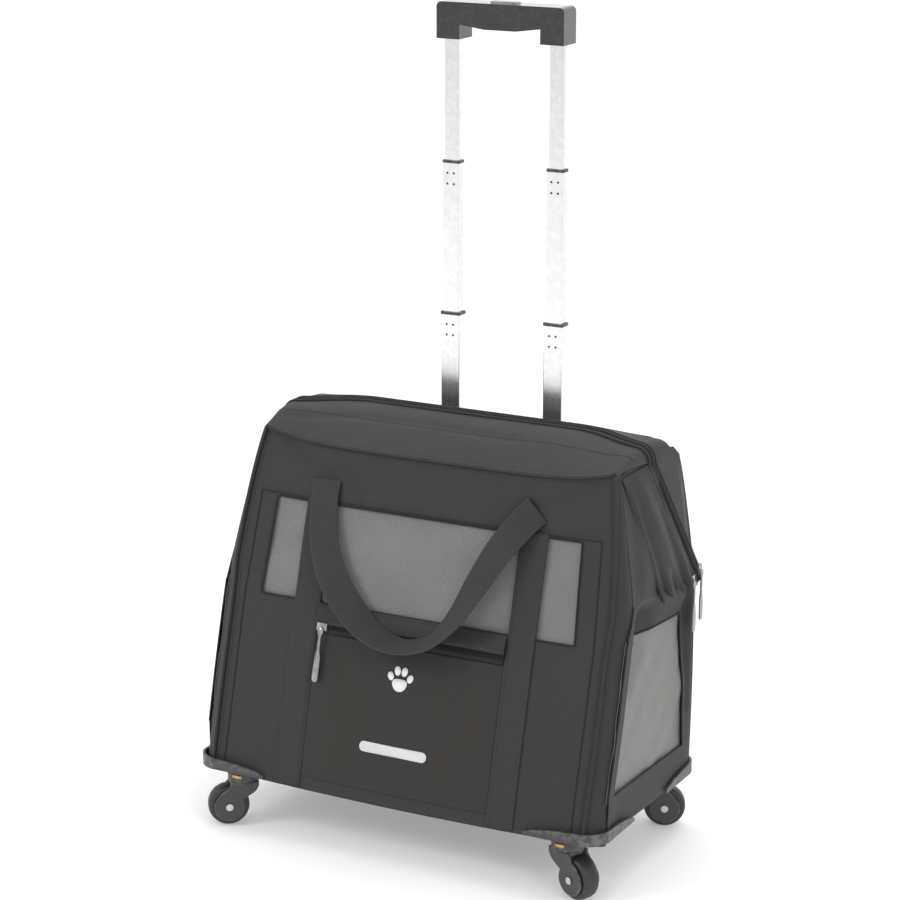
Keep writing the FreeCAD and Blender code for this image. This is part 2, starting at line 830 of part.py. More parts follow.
# ---------------------------------------------------------------- grip
def make_grip_lower():
    """The lower half of the grip, with a leg over each tube."""
    half = "grip_length / 2"
    leg = f"{half} - grip_leg_width"
    outline = [
        (f"-({half})", "stage_three_high"),
        (f"-({leg})", "stage_three_high"),
        (f"-({leg})", "bar_low + edge_margin / 2"),
        ("-grip_length / 8", "bar_low"),
        ("grip_length / 8", "bar_low"),
        (leg, "bar_low + edge_margin / 2"),
        (leg, "stage_three_high"),
        (half, "stage_three_high"),
        (half, "split_high"),
        (f"-({half})", "split_high"),
    ]
    body = plate(
        "grip_lower_shell", "XZ", [outline], "-tube_back - grip_depth / 2", "grip_depth",
    )
    sockets = []
    for side, sign in (("left", "-1"), ("right", "1")):
        corner = (
            f"{sign} * tube_spacing / 2 - tube_wide / 2",
            "tube_back - tube_deep / 2",
            "stage_three_high - 1",
        )
        size = ("tube_wide", "tube_deep", "grip_socket + 1")
        sockets.append(box(f"socket_{side}", size, corner))
    return cut("grip_lower", body, fuse("sockets", sockets))


keep(make_grip_lower(), "grip_lower")


def make_grip_upper():
    """The upper half of the grip, with a pocket for the push button."""
    half = "grip_length / 2"
    outline = rectangle(f"-({half})", "split_high", half, "grip_high")
    body = plate(
        "grip_upper_shell", "XZ", [outline], "-tube_back - grip_depth / 2", "grip_depth",
        [("grip_edge", outline[2:])],
    )
    size = (
        "button_length + 2 * button_clearance",
        "button_width + 2 * button_clearance",
        "grip_high - button_floor + 1",
    )
    corner = (
        "-button_length / 2 - button_clearance",
        "tube_back - button_width / 2 - button_clearance",
        "button_floor",
    )
    return cut("grip_upper", body, box("button_pocket", size, corner))


keep(make_grip_upper(), "grip_upper")

button_outline = rectangle(
    "-button_length / 2", "tube_back - button_width / 2",
    "button_length / 2", "tube_back + button_width / 2",
)
grip_button = plate(
    "grip_button", "XY", [button_outline], "button_low", "button_rise",
    [("button_width / 4", button_outline)],
)
keep(grip_button, "grip_button")

spring_start = ("0", "tube_back", "button_floor")
spring_rise = "button_low - button_floor"
spring_outer = rod("spring_outer", "spring_radius", spring_rise, spring_start)
spring_inner = rod("spring_inner", "spring_radius - spring_wire", spring_rise, spring_start)
keep(cut("grip_spring", spring_outer, spring_inner), "grip_spring")


# ---------------------------------------------------------------- casters
def make_bracket(label, across, along):
    """A corner shoe: a floor plate, a rim that falls away in an arc, and the swivel boss."""
    outer = "half_length + bracket_wall"
    back = "half_depth + bracket_wall"
    plate_outline = [
        (f"{across} * (half_length - bracket_plate_length)",
         f"{along} * (half_depth - bracket_plate_depth)"),
        (f"{across} * ({outer})", f"{along} * (half_depth - bracket_plate_depth)"),
        (f"{across} * ({outer})", f"{along} * ({back})"),
        (f"{across} * (half_length - bracket_plate_length)", f"{along} * ({back})"),
    ]
    shoe = plate(
        label + "_floor", "XY", [plate_outline], "floor_gap", "cover_wall",
        [("corner_radius + bracket_wall", plate_outline[2:3])],
    )
    rim_outline = [
        (f"{across} * (half_length - bracket_reach)", f"{along} * (half_depth + piece_gap)"),
        (f"{across} * (half_length + piece_gap)", f"{along} * (half_depth + piece_gap)"),
        (f"{across} * (half_length + piece_gap)", f"{along} * (half_depth - bracket_reach)"),
        (f"{across} * ({outer})", f"{along} * (half_depth - bracket_reach)"),
        (f"{across} * ({outer})", f"{along} * ({back})"),
        (f"{across} * (half_length - bracket_reach)", f"{along} * ({back})"),
    ]
    rim = plate(
        label + "_rim", "XY", [rim_outline], "floor_gap", "bracket_rim",
        [
            ("corner_radius + bracket_wall", rim_outline[4:5]),
            ("corner_radius", rim_outline[1:2]),
        ],
    )
    dome = doc.addObject("Part::Ellipsoid", label + "_arc")
    bind(dome, "Radius1", "bracket_rim")
    bind(dome, "Radius2", "bracket_reach + bracket_wall")
    bind(dome, "Radius3", "bracket_reach + bracket_wall")
    place(dome, (f"{across} * half_length", f"{along} * half_depth", "floor_gap"))
    arc_rim = common(label + "_arc_rim", rim, dome)
    axis = (f"{across} * caster_across / 2", f"{along} * caster_along / 2")
    boss = rod(
        label + "_boss", "boss_diameter / 2", "floor_gap + 1 - head_high - swivel_gap",
        (*axis, "head_high + swivel_gap"),
    )
    bore = rod(
        label + "_bore", "pin_diameter / 2", "floor_gap",
        (*axis, "head_high"),
    )
    return cut(label, fuse(label + "_solid", [shoe, arc_rim, boss]), bore)


def make_fork(label):
    """The swivel head with two arms that hold the axle."""
    head = rod(label + "_head", "head_diameter / 2", "head_wall", ("0", "0", "head_low"))
    arms = [head]
    for name, face in (("a", "fork_inner"), ("b", "-fork_inner - fork_wall")):
        disc = rod(
            f"{label}_disc_{name}", "fork_disc / 2", "fork_wall",
            ("-caster_trail", face, "wheel_radius"), "Y",
        )
        arm = box(
            f"{label}_arm_{name}",
            ("fork_arm", "fork_wall", "head_high - wheel_radius - fork_disc / 4"),
            ("-fork_arm / 2 - caster_trail / 4", face, "wheel_radius + fork_disc / 4"),
        )
        arms += [disc, arm]
    swivel_bore = rod(
        label + "_bore", "pin_diameter / 2 + axle_clearance", "head_wall * 3",
        ("0", "0", "head_low - head_wall"),
    )
    axle_bore = rod(
        label + "_axle_bore", "axle_diameter / 2", "4 * fork_inner",
        ("-caster_trail", "-2 * fork_inner", "wheel_radius"), "Y",
    )
    return cut(label, fuse(label + "_solid", arms), fuse(label + "_bores", [swivel_bore, axle_bore]))


def make_ring(label, outer, inner, width, edge):
    """A wheel part: a ring round the axle with rounded shoulders."""
    body = doc.addObject("PartDesign::Body", label)
    sketch = add_sketch(body, "Ring", "XZ", f"-({width}) / 2")
    draw_circle(sketch, "-caster_trail", "wheel_radius", outer)
    draw_circle(sketch, "-caster_trail", "wheel_radius", inner)
    pad(body, sketch, width)
    doc.recompute()
    shoulders = []
    for index, rim in enumerate(body.Tip.Shape.Edges, start=1):
        if hasattr(rim.Curve, "Radius") and abs(rim.Curve.Radius - number(outer)) < 1e-6:
            shoulders.append(f"Edge{index}")
    base = body.Tip
    feature = body.newObject("PartDesign::Fillet", "Shoulders")
    feature.Base = (base, shoulders)
    bind(feature, "Radius", edge)
    body.Tip = feature
    return body


pins = []
for corner, across, along in (
    ("front_left", "-1", "-1"), ("front_right", "1", "-1"),
    ("back_left", "-1", "1"), ("back_right", "1", "1"),
):
    axis = (f"{across} * caster_across / 2", f"{along} * caster_along / 2", "0")
    turn = ("Z", f"yaw_{corner} * 1 deg")
    keep(make_bracket(f"corner_bracket_{corner}", across, along), f"corner_bracket_{corner}")
    keep(place(make_fork(f"fork_{corner}"), axis, *turn), f"fork_{corner}")
    hub = make_ring(
        f"wheel_{corner}", "hub_diameter / 2", "axle_diameter / 2 + axle_clearance",
        "wheel_width", "hub_edge",
    )
    keep(place(hub, axis, *turn), f"wheel_{corner}")
    tyre = make_ring(
        f"tyre_{corner}", "wheel_diameter / 2", "hub_diameter / 2", "wheel_width", "tyre_round",
    )
    keep(place(tyre, axis, *turn), f"tyre_{corner}")
    axle_length = "2 * (fork_inner + fork_wall + 1)"
    axle = rod(
        f"axle_shank_{corner}", "axle_diameter / 2", axle_length,
        ("-caster_trail", f"-({axle_length}) / 2", "wheel_radius"), "Y",
    )
    heads = [axle]
    for name, face in (
        ("a", "fork_inner + fork_wall"), ("b", "-fork_inner - fork_wall - axle_head_wall"),
    ):
        heads.append(rod(
            f"axle_head_{corner}_{name}", "axle_head_radius", "axle_head_wall",
            ("-caster_trail", face, "wheel_radius"), "Y",
        ))
    keep(place(fuse(f"axle_{corner}", heads), axis, *turn), f"axle_{corner}")
    pins.append(rod(
        f"pin_{corner}", "pin_diameter / 2", "floor_gap + cover_wall - head_low + swivel_gap",
        (axis[0], axis[1], "head_low - swivel_gap"),
    ))
    pins.append(rod(
        f"pin_head_{corner}", "pin_head / 2", "head_clearance / 2",
        (axis[0], axis[1], "head_low - swivel_gap - head_clearance / 2"),
    ))
keep(fuse("swivel_pins", pins), "swivel_pins")


# ---------------------------------------------------------------- carry handles
def handle_loop(label, drop, half_bottom):
    """A flat webbing loop that hangs from its top ends, drawn about its hinge line."""
    outer = [
        (f"-({half_bottom})", f"-({drop})"), (half_bottom, f"-({drop})"),
        ("handle_outer", "0"), ("handle_outer - webbing_width", "0"),
        (f"{half_bottom} - webbing_width / 2", f"-({drop}) + handle_band"),
        (f"-({half_bottom}) + webbing_width / 2", f"-({drop}) + handle_band"),
        ("-handle_outer + webbing_width", "0"), ("-handle_outer", "0"),
    ]
    return plate(
        label, "XZ", [outer], "-webbing_wall / 2", "webbing_wall",
        [
            ("handle_corner", outer[:2]),
            ("handle_corner / 2", outer[4:6]),
        ],
    )


front_loop = handle_loop("handle_front", "handle_drop", "handle_bottom / 2")
place(
    front_loop,
    (
        "0",
        "-half_depth + handle_top * sin(lean) - handle_pivot_off * cos(lean)",
        "floor_gap + handle_top * cos(lean) + handle_pivot_off * sin(lean)",
    ),
    "X", "-lean - handle_tilt * 1 deg",
)
keep(front_loop, "handle_front")

back_loop = handle_loop("handle_back", "back_handle_drop", "handle_outer")
place(
    back_loop,
    ("0", "back_face + handle_pivot_off", "floor_gap + handle_top * cos(lean)"),
    "X", "back_handle_tilt * 1 deg",
)
keep(back_loop, "handle_back")

# ---------------------------------------------------------------- zip hardware
slider_face = "piece_gap + pocket_wall + piece_gap"
pocket_slider_outline = rectangle(
    "-band_inner + seam_gap * 2", "zip_level - slider_width / 2",
    "-band_inner + seam_gap * 2 + slider_length", "zip_level + slider_width / 2",
)
pocket_slider = plate("pocket_slider", "XZ", [pocket_slider_outline], slider_face, "slider_wall")
keep(on_panel(pocket_slider), "pocket_slider")

pull_left = "-band_inner + seam_gap * 2 + slider_length / 2 - pull_width / 2"
pocket_pull_outline = rectangle(
    pull_left, "zip_level - pocket_pull_length",
    f"{pull_left} + pull_width", "zip_level + piece_gap",
)
pocket_pull = plate(
    "pocket_pull", "XZ", [pocket_pull_outline], f"{slider_face} + slider_wall + piece_gap", "pull_wall",
    [("pull_width / 3", pocket_pull_outline)],
)
keep(on_panel(pocket_pull), "pocket_pull")

main_face = "end_outer + piece_gap * 4 + ear_wall"


def slider_outline(back, drop):
    """One slider beside the low end of the mouth zip."""
    low = f"hinge_high - {drop} - slider_length / 2"
    return rectangle(
        f"{back} - slider_width / 2", low, f"{back} + slider_width / 2", f"{low} + slider_length",
    )


def pull_outline(back, drop):
    """The pull that hangs below a slider."""
    return rectangle(
        f"{back} - pull_width / 2", f"hinge_high - {drop} - main_pull_length",
        f"{back} + pull_width / 2", f"hinge_high - {drop} + piece_gap",
    )


main_sliders = (
    ("zip_pull_front", "front_slider_back", "front_slider_drop"),
    ("zip_pull_back", "back_slider_back", "-back_slider_drop"),
)
slider_outlines = [slider_outline(back, drop) for _, back, drop in main_sliders]
keep(plate("zip_sliders", "YZ", slider_outlines, main_face, "slider_wall"), "zip_sliders")
for label, back, drop in main_sliders:
    outline = pull_outline(back, drop)
    pull = plate(
        label, "YZ", [outline], f"{main_face} + slider_wall + piece_gap", "pull_wall",
        [("pull_width / 3", outline)],
    )
    keep(pull, label)

# ---------------------------------------------------------------- check and write
doc.recompute()
for item in doc.Objects:
    if {"Invalid", "Error"} & set(item.State):
        raise RuntimeError(f"{item.Label} did not build: {item.State}")
os.makedirs("parts", exist_ok=True)
for item in nodes:
    if item.Shape.isNull() or not item.Shape.isValid():
        raise RuntimeError(f"{item.Label} has no valid shape")
    item.Shape.exportStep(os.path.join("parts", item.Label + ".step"))
print(len(nodes), "sub-parts written")
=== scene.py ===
"""A soft-sided pet carrier on four casters with a telescopic handle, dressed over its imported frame.

The frame's coordinates are kept: +X to the right, +Y to the back, +Z up, the origin on the floor.
Shapes are worked out in millimetres and put into the meshes in metres.
"""

import json
import logging
import math
from dataclasses import dataclass, field
from enum import Enum

import bpy
import numpy as np
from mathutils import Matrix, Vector


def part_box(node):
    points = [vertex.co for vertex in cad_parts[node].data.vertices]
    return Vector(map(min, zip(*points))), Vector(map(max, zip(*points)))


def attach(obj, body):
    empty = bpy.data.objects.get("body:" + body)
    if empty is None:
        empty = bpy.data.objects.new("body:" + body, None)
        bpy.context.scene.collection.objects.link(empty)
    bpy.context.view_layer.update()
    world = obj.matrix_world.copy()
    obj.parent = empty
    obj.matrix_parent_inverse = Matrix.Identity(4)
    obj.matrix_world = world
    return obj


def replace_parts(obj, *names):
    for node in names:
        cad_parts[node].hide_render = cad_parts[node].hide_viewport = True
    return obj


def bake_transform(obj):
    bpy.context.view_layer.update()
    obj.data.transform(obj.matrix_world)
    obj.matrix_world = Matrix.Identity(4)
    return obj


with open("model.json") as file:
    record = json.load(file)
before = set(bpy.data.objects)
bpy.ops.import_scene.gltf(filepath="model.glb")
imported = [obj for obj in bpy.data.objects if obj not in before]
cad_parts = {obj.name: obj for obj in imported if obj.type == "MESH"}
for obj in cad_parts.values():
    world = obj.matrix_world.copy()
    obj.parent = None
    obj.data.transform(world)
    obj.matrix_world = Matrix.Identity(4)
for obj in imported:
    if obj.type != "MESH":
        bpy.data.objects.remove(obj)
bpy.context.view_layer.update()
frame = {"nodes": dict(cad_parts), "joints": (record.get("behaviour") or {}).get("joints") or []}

Array = np.ndarray
MM = 0.001
LEFT, RIGHT = -1, 1
SIDE_NAMES = {LEFT: "left", RIGHT: "right"}
CORNERS = ("front_left", "front_right", "back_left", "back_right")
log = logging.getLogger("carrier")


# ---------------------------------------------------------------- numbers and curves


def box_mm(node: str) -> tuple[Array, Array]:
    """Lowest and highest corner of a node of the frame, in millimetres."""
    low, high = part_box(node)
    return np.array(low) / MM, np.array(high) / MM


def joint_mm(name: str) -> Array:
    """The place of a joint of the frame, in millimetres."""
    return np.array(next(j["pos_m"] for j in frame["joints"] if j["name"] == name)) / MM


def step(value: Array, low: float, high: float) -> Array:
    """A smooth rise from 0 at low to 1 at high, level at both ends."""
    t = np.clip((np.asarray(value, float) - low) / (high - low), 0, 1)
    return t * t * (3 - 2 * t)


def spline(points: list, count: int) -> Array:
    """Points spaced along a smooth curve through the given ones.

    Each span is a cubic Hermite curve whose end slopes are half the chord across the neighbours.

    Args:
        points: the points that the curve goes through, each with any number of values.
        count: how many points come back.

    Returns:
        An array of count rows.
    """
    p = np.asarray(points, float)
    slopes = np.gradient(p, axis=0)
    t = np.linspace(0, len(p) - 1, count)
    i = np.clip(t.astype(int), 0, len(p) - 2)
    u = (t - i)[:, None]
    a, b, m, n = p[i], p[i + 1], slopes[i], slopes[i + 1]
    return (
        a * (2 * u**3 - 3 * u**2 + 1)
        + m * (u**3 - 2 * u**2 + u)
        + b * (3 * u**2 - 2 * u**3)
        + n * (u**3 - u**2)
    )


def spaced(path: Array, spacing: float) -> Array:
    """The path's points moved so that they are evenly spaced, about spacing apart."""
    gaps = np.linalg.norm(np.diff(path, axis=0), axis=1)
    along = np.concatenate([[0], np.cumsum(gaps)])
    count = max(2, int(round(along[-1] / spacing)) + 1)
    wanted = np.linspace(0, along[-1], count)
    return np.stack([np.interp(wanted, along, path[:, k]) for k in range(path.shape[1])], axis=1)


def unit(vectors: Array) -> Array:
    """The vectors, each made one long."""
    return vectors / np.maximum(np.linalg.norm(vectors, axis=-1, keepdims=True), 1e-9)


def tangents(path: Array) -> Array:
    """The direction of a path at each of its points."""
    return unit(np.gradient(path, axis=0))


def groove(a: Array, b: Array, line: list, width: float) -> Array:
    """How near each point (a, b) lies to a bent line: 1 on it, falling off as a bell of that width."""
    points = np.asarray(line, float)
    near = np.full(np.broadcast(a, b).shape, 1e9)
    for (a0, b0), (a1, b1) in zip(points[:-1], points[1:]):
        da, db = a1 - a0, b1 - b0
        t = np.clip(((a - a0) * da + (b - b0) * db) / (da * da + db * db), 0, 1)
        near = np.minimum(near, np.hypot(a - a0 - t * da, b - b0 - t * db))
    return np.exp(-((near / width) ** 2))


def ripple(a: Array, b: Array, size: float, seed: int) -> Array:
    """A soft unevenness between about -1 and 1: seven sine waves of random turn and phase, summed."""
    dice = np.random.default_rng(seed)
    total = np.zeros(np.broadcast(a, b).shape)
    for _ in range(7):
        turn, phase = dice.uniform(0, 2 * np.pi, 2)
        wave = size * dice.uniform(0.6, 1.8)
        total = total + np.sin(2 * np.pi * (a * np.cos(turn) + b * np.sin(turn)) / wave + phase)
    return total / 3.5


# ---------------------------------------------------------------- meshes


def grid_faces(rows: int, columns: int, closed: bool = False, keep: Array | None = None) -> Array:
    """The four-sided faces of a grid of points numbered row by row.

    Args:
        rows: how many rows of points there are.
        columns: how many points are in a row.
        closed: whether each row closes on itself.
        keep: a mask of the faces to keep, one row less than the points and, if open, one column less.

    Returns:
        An array of faces, four point numbers each.
    """
    across = columns if closed else columns - 1
    i, j = np.meshgrid(np.arange(rows - 1), np.arange(across), indexing="ij")
    after = (j + 1) % columns
    faces = np.stack(
        [i * columns + j, i * columns + after, (i + 1) * columns + after, (i + 1) * columns + j], axis=-1
    )
    return faces[keep] if keep is not None else faces.reshape(-1, 4)


def put_mesh(
    name: str,
    points: Array,
    faces: list,
    material: bpy.types.Material,
    uv: Array | None = None,
    inside: tuple | None = None,
    smooth: bool = True,
) -> bpy.types.Object:
    """Makes an object from points in millimetres, at the origin, with its faces outwards.

    Args:
        name: the object's name.
        points: the points, in any grid shape, in millimetres.
        faces: the faces, as point numbers.
        material: its finish.
        uv: a pair of values for each point, for patterns that follow the surface.
        inside: a point that the faces look away from; a closed mesh without one is tested by its volume.
        smooth: whether it is shaded smooth.

    Returns:
        The new object.
    """
    flat = np.asarray(points, float).reshape(-1, 3) * MM
    quads = [list(map(int, f)) for f in faces]
    fan = np.array([f[:3] for f in quads])
    a, b, c = flat[fan[:, 0]], flat[fan[:, 1]], flat[fan[:, 2]]
    normal = np.cross(b - a, c - a)
    if inside is None:
        thirds = np.array([(f[0], f[k], f[k + 1]) for f in quads for k in range(1, len(f) - 1)])
        p, q, r = flat[thirds[:, 0]], flat[thirds[:, 1]], flat[thirds[:, 2]]
        outward = float(np.einsum("ij,ij->i", p, np.cross(q, r)).sum())
    else:
        outward = float(np.einsum("ij,ij->i", normal, a - np.array(inside) * MM).sum())
    if outward < 0:
        quads = [f[::-1] for f in quads]
    mesh = bpy.data.meshes.new(name)
    mesh.from_pydata(flat.tolist(), [], quads)
    mesh.materials.append(material)
    mesh.polygons.foreach_set("use_smooth", [smooth] * len(mesh.polygons))
    if uv is not None:
        corner = np.zeros(len(mesh.loops), np.int32)
        mesh.loops.foreach_get("vertex_index", corner)
        layer = mesh.uv_layers.new(name="UVMap")
        layer.data.foreach_set("uv", np.asarray(uv, np.float32).reshape(-1, 2)[corner].ravel())
    mesh.update()
    piece = bpy.data.objects.new(name, mesh)
    bpy.context.scene.collection.objects.link(piece)
    return piece


def put_grid(
    name: str, points: Array, material: bpy.types.Material, inside: tuple, uv: Array | None = None,
    keep: Array | None = None,
) -> bpy.types.Object:
    """Makes an open sheet from a grid of points; without uv it gets the lengths along the grid, in metres."""
    rows, columns = points.shape[:2]
    if uv is None:
        u = np.cumsum(np.linalg.norm(np.diff(points, axis=1, prepend=points[:, :1]), axis=2), axis=1)
        v = np.cumsum(np.linalg.norm(np.diff(points, axis=0, prepend=points[:1]), axis=2), axis=0)
        uv = np.stack([u - u[:, columns // 2 : columns // 2 + 1], v], axis=-1) * MM
    return put_mesh(name, points, grid_faces(rows, columns, keep=keep), material, uv, inside)


def loft(name: str, rings: Array, material: bpy.types.Material, uv: Array | None = None) -> bpy.types.Object:
    """Makes a closed solid through rings of points, with a flat face on the first and last ring."""
    count, around = rings.shape[:2]
    faces = grid_faces(count, around, closed=True).tolist()
    faces.append(list(range(around))[::-1])
    faces.append([(count - 1) * around + k for k in range(around)])
    if uv is None:
        along = np.cumsum(np.linalg.norm(np.diff(rings, axis=0, prepend=rings[:1]), axis=2), axis=0)
        turn = np.cumsum(np.linalg.norm(np.diff(rings, axis=1, prepend=rings[:, :1]), axis=2), axis=1)
        uv = np.stack([turn, along], axis=-1) * MM
    return put_mesh(name, rings, faces, material, uv)


def tube(
    name: str, path: Array, radius: float, material: bpy.types.Material, around: int = 10,
    out: tuple = (0.0, 0.0, 1.0),
) -> bpy.types.Object:
    """Makes a round cord: circles of that radius, square to the path."""
    along = tangents(path)
    side = unit(np.cross(along, np.asarray(out, float)))
    up = np.cross(side, along)
    turn = np.linspace(0, 2 * np.pi, around, endpoint=False)
    ring = side[:, None] * np.cos(turn)[None, :, None] + up[:, None] * np.sin(turn)[None, :, None]
    return loft(name, path[:, None] + radius * ring, material)


def ribbon(
    name: str, path: Array, across: Array, out: Array, width: float, wall: float,
    material: bpy.types.Material,
) -> bpy.types.Object:
    """Makes flat webbing: a thin section with rounded edges carried along the path.

    The section is a superellipse, width times wall, whose long axis is across.

    Args:
        name: the object's name.
        path: the middle line.
        across: the direction of the width at each point.
        out: the direction of the thickness at each point.
        width: the webbing's width.
        wall: its thickness.
        material: its finish.

    Returns:
        The new object, with u across and v along the webbing, in metres.
    """
    turn = np.linspace(0, 2 * np.pi, 28, endpoint=False)
    wide = np.sign(np.cos(turn)) * np.abs(np.cos(turn)) ** 0.45 * width / 2
    thick = np.sign(np.sin(turn)) * np.abs(np.sin(turn)) ** 0.6 * wall / 2
    rings = path[:, None] + across[:, None] * wide[None, :, None] + out[:, None] * thick[None, :, None]
    along = np.concatenate([[0], np.cumsum(np.linalg.norm(np.diff(path, axis=0), axis=1))])
    uv = np.stack(np.broadcast_arrays(wide[None, :], along[:, None]), axis=-1) * MM
    return loft(name, rings, material, uv)


def stitches(
    name: str, path: Array, out: Array, material: bpy.types.Material, long: float = 3.4,
    pitch: float = 4.4, wide: float = 0.75,
) -> bpy.types.Object:
    """Makes a row of sewn stitches: small six-sided spindles laid along the path.

    Args:
        name: the object's name.
        path: the sewing line.
        out: the direction away from the cloth, one for all or one for each point.
        material: the thread's finish.
        long: the length of a stitch.
        pitch: the distance from one stitch to the next.
        wide: the thread's width.

    Returns:
        The new object.
    """
    facing = np.broadcast_to(np.asarray(out, float), path.shape)
    both = spaced(np.concatenate([path, facing], axis=1), pitch)
    line, facing = both[:, :3], unit(both[:, 3:])
    along = tangents(line)
    side = unit(np.cross(along, facing))
    turn = np.linspace(0, 2 * np.pi, 6, endpoint=False)
    place = np.array([-0.5, -0.36, 0.0, 0.36, 0.5])
    girth = np.array([0.25, 0.85, 1.0, 0.85, 0.25])
    centre = line[:, None] + along[:, None] * (place * long)[None, :, None]
    ring = (
        side[:, None, None] * (np.cos(turn) * wide / 2)[None, None, :, None]
        + facing[:, None, None] * (np.sin(turn) * wide / 2.4)[None, None, :, None]
    )
    points = centre[:, :, None] + ring * girth[None, :, None, None]
    one = grid_faces(5, 6, closed=True).tolist() + [[5, 4, 3, 2, 1, 0], [24, 25, 26, 27, 28, 29]]
    faces = [[k * 30 + v for v in f] for k in range(len(line)) for f in one]
    return put_mesh(name, points, faces, material)


def thicken(piece: bpy.types.Object, wall: float) -> bpy.types.Object:
    """Gives a sheet its wall, inwards from the face that shows, in millimetres."""
    solid = piece.modifiers.new("wall", "SOLIDIFY")
    solid.thickness = wall * MM
    solid.offset = -1
    return piece


# ---------------------------------------------------------------- finishes


class Graph:
    """Adds and links the nodes of one node tree."""

    def __init__(self, tree: bpy.types.NodeTree) -> None:
        """Keeps the tree that is filled."""
        self.tree = tree

    def add(self, kind: str, inputs: dict | None = None, **settings: object) -> bpy.types.Node:
        """Adds a node; an input that is a socket is linked, any other is set."""
        node = self.tree.nodes.new(kind)
        for name, value in settings.items():
            setattr(node, name, value)
        for name, value in (inputs or {}).items():
            if isinstance(value, bpy.types.NodeSocket):
                self.tree.links.new(value, node.inputs[name])
            else:
                node.inputs[name].default_value = value
        return node

    def math(self, operation: str, a: object, b: object = 0.0, c: object = 0.0) -> bpy.types.NodeSocket:
        """A sum of numbers or sockets."""
        return self.add("ShaderNodeMath", {0: a, 1: b, 2: c}, operation=operation).outputs[0]

    def mix(self, share: object, a: object, b: object) -> bpy.types.NodeSocket:
        """A colour between a and b."""
        node = self.add("ShaderNodeMix", data_type="RGBA")
        for place, value in ((0, share), (6, a), (7, b)):
            if isinstance(value, bpy.types.NodeSocket):
                self.tree.links.new(value, node.inputs[place])
            else:
                node.inputs[place].default_value = value
        return node.outputs[2]

    def ramp(self, value: bpy.types.NodeSocket, low: float, high: float) -> bpy.types.NodeSocket:
        """The value's place between low and high, from 0 to 1."""
        inputs = {"Value": value, "From Min": low, "From Max": high}
        return self.add("ShaderNodeMapRange", inputs).outputs["Result"]

    def noise(self, vector: bpy.types.NodeSocket, scale: float, detail: float = 3) -> bpy.types.NodeSocket:
        """A soft random value."""
        inputs = {"Vector": vector, "Scale": scale, "Detail": detail}
        return self.add("ShaderNodeTexNoise", inputs).outputs["Fac"]


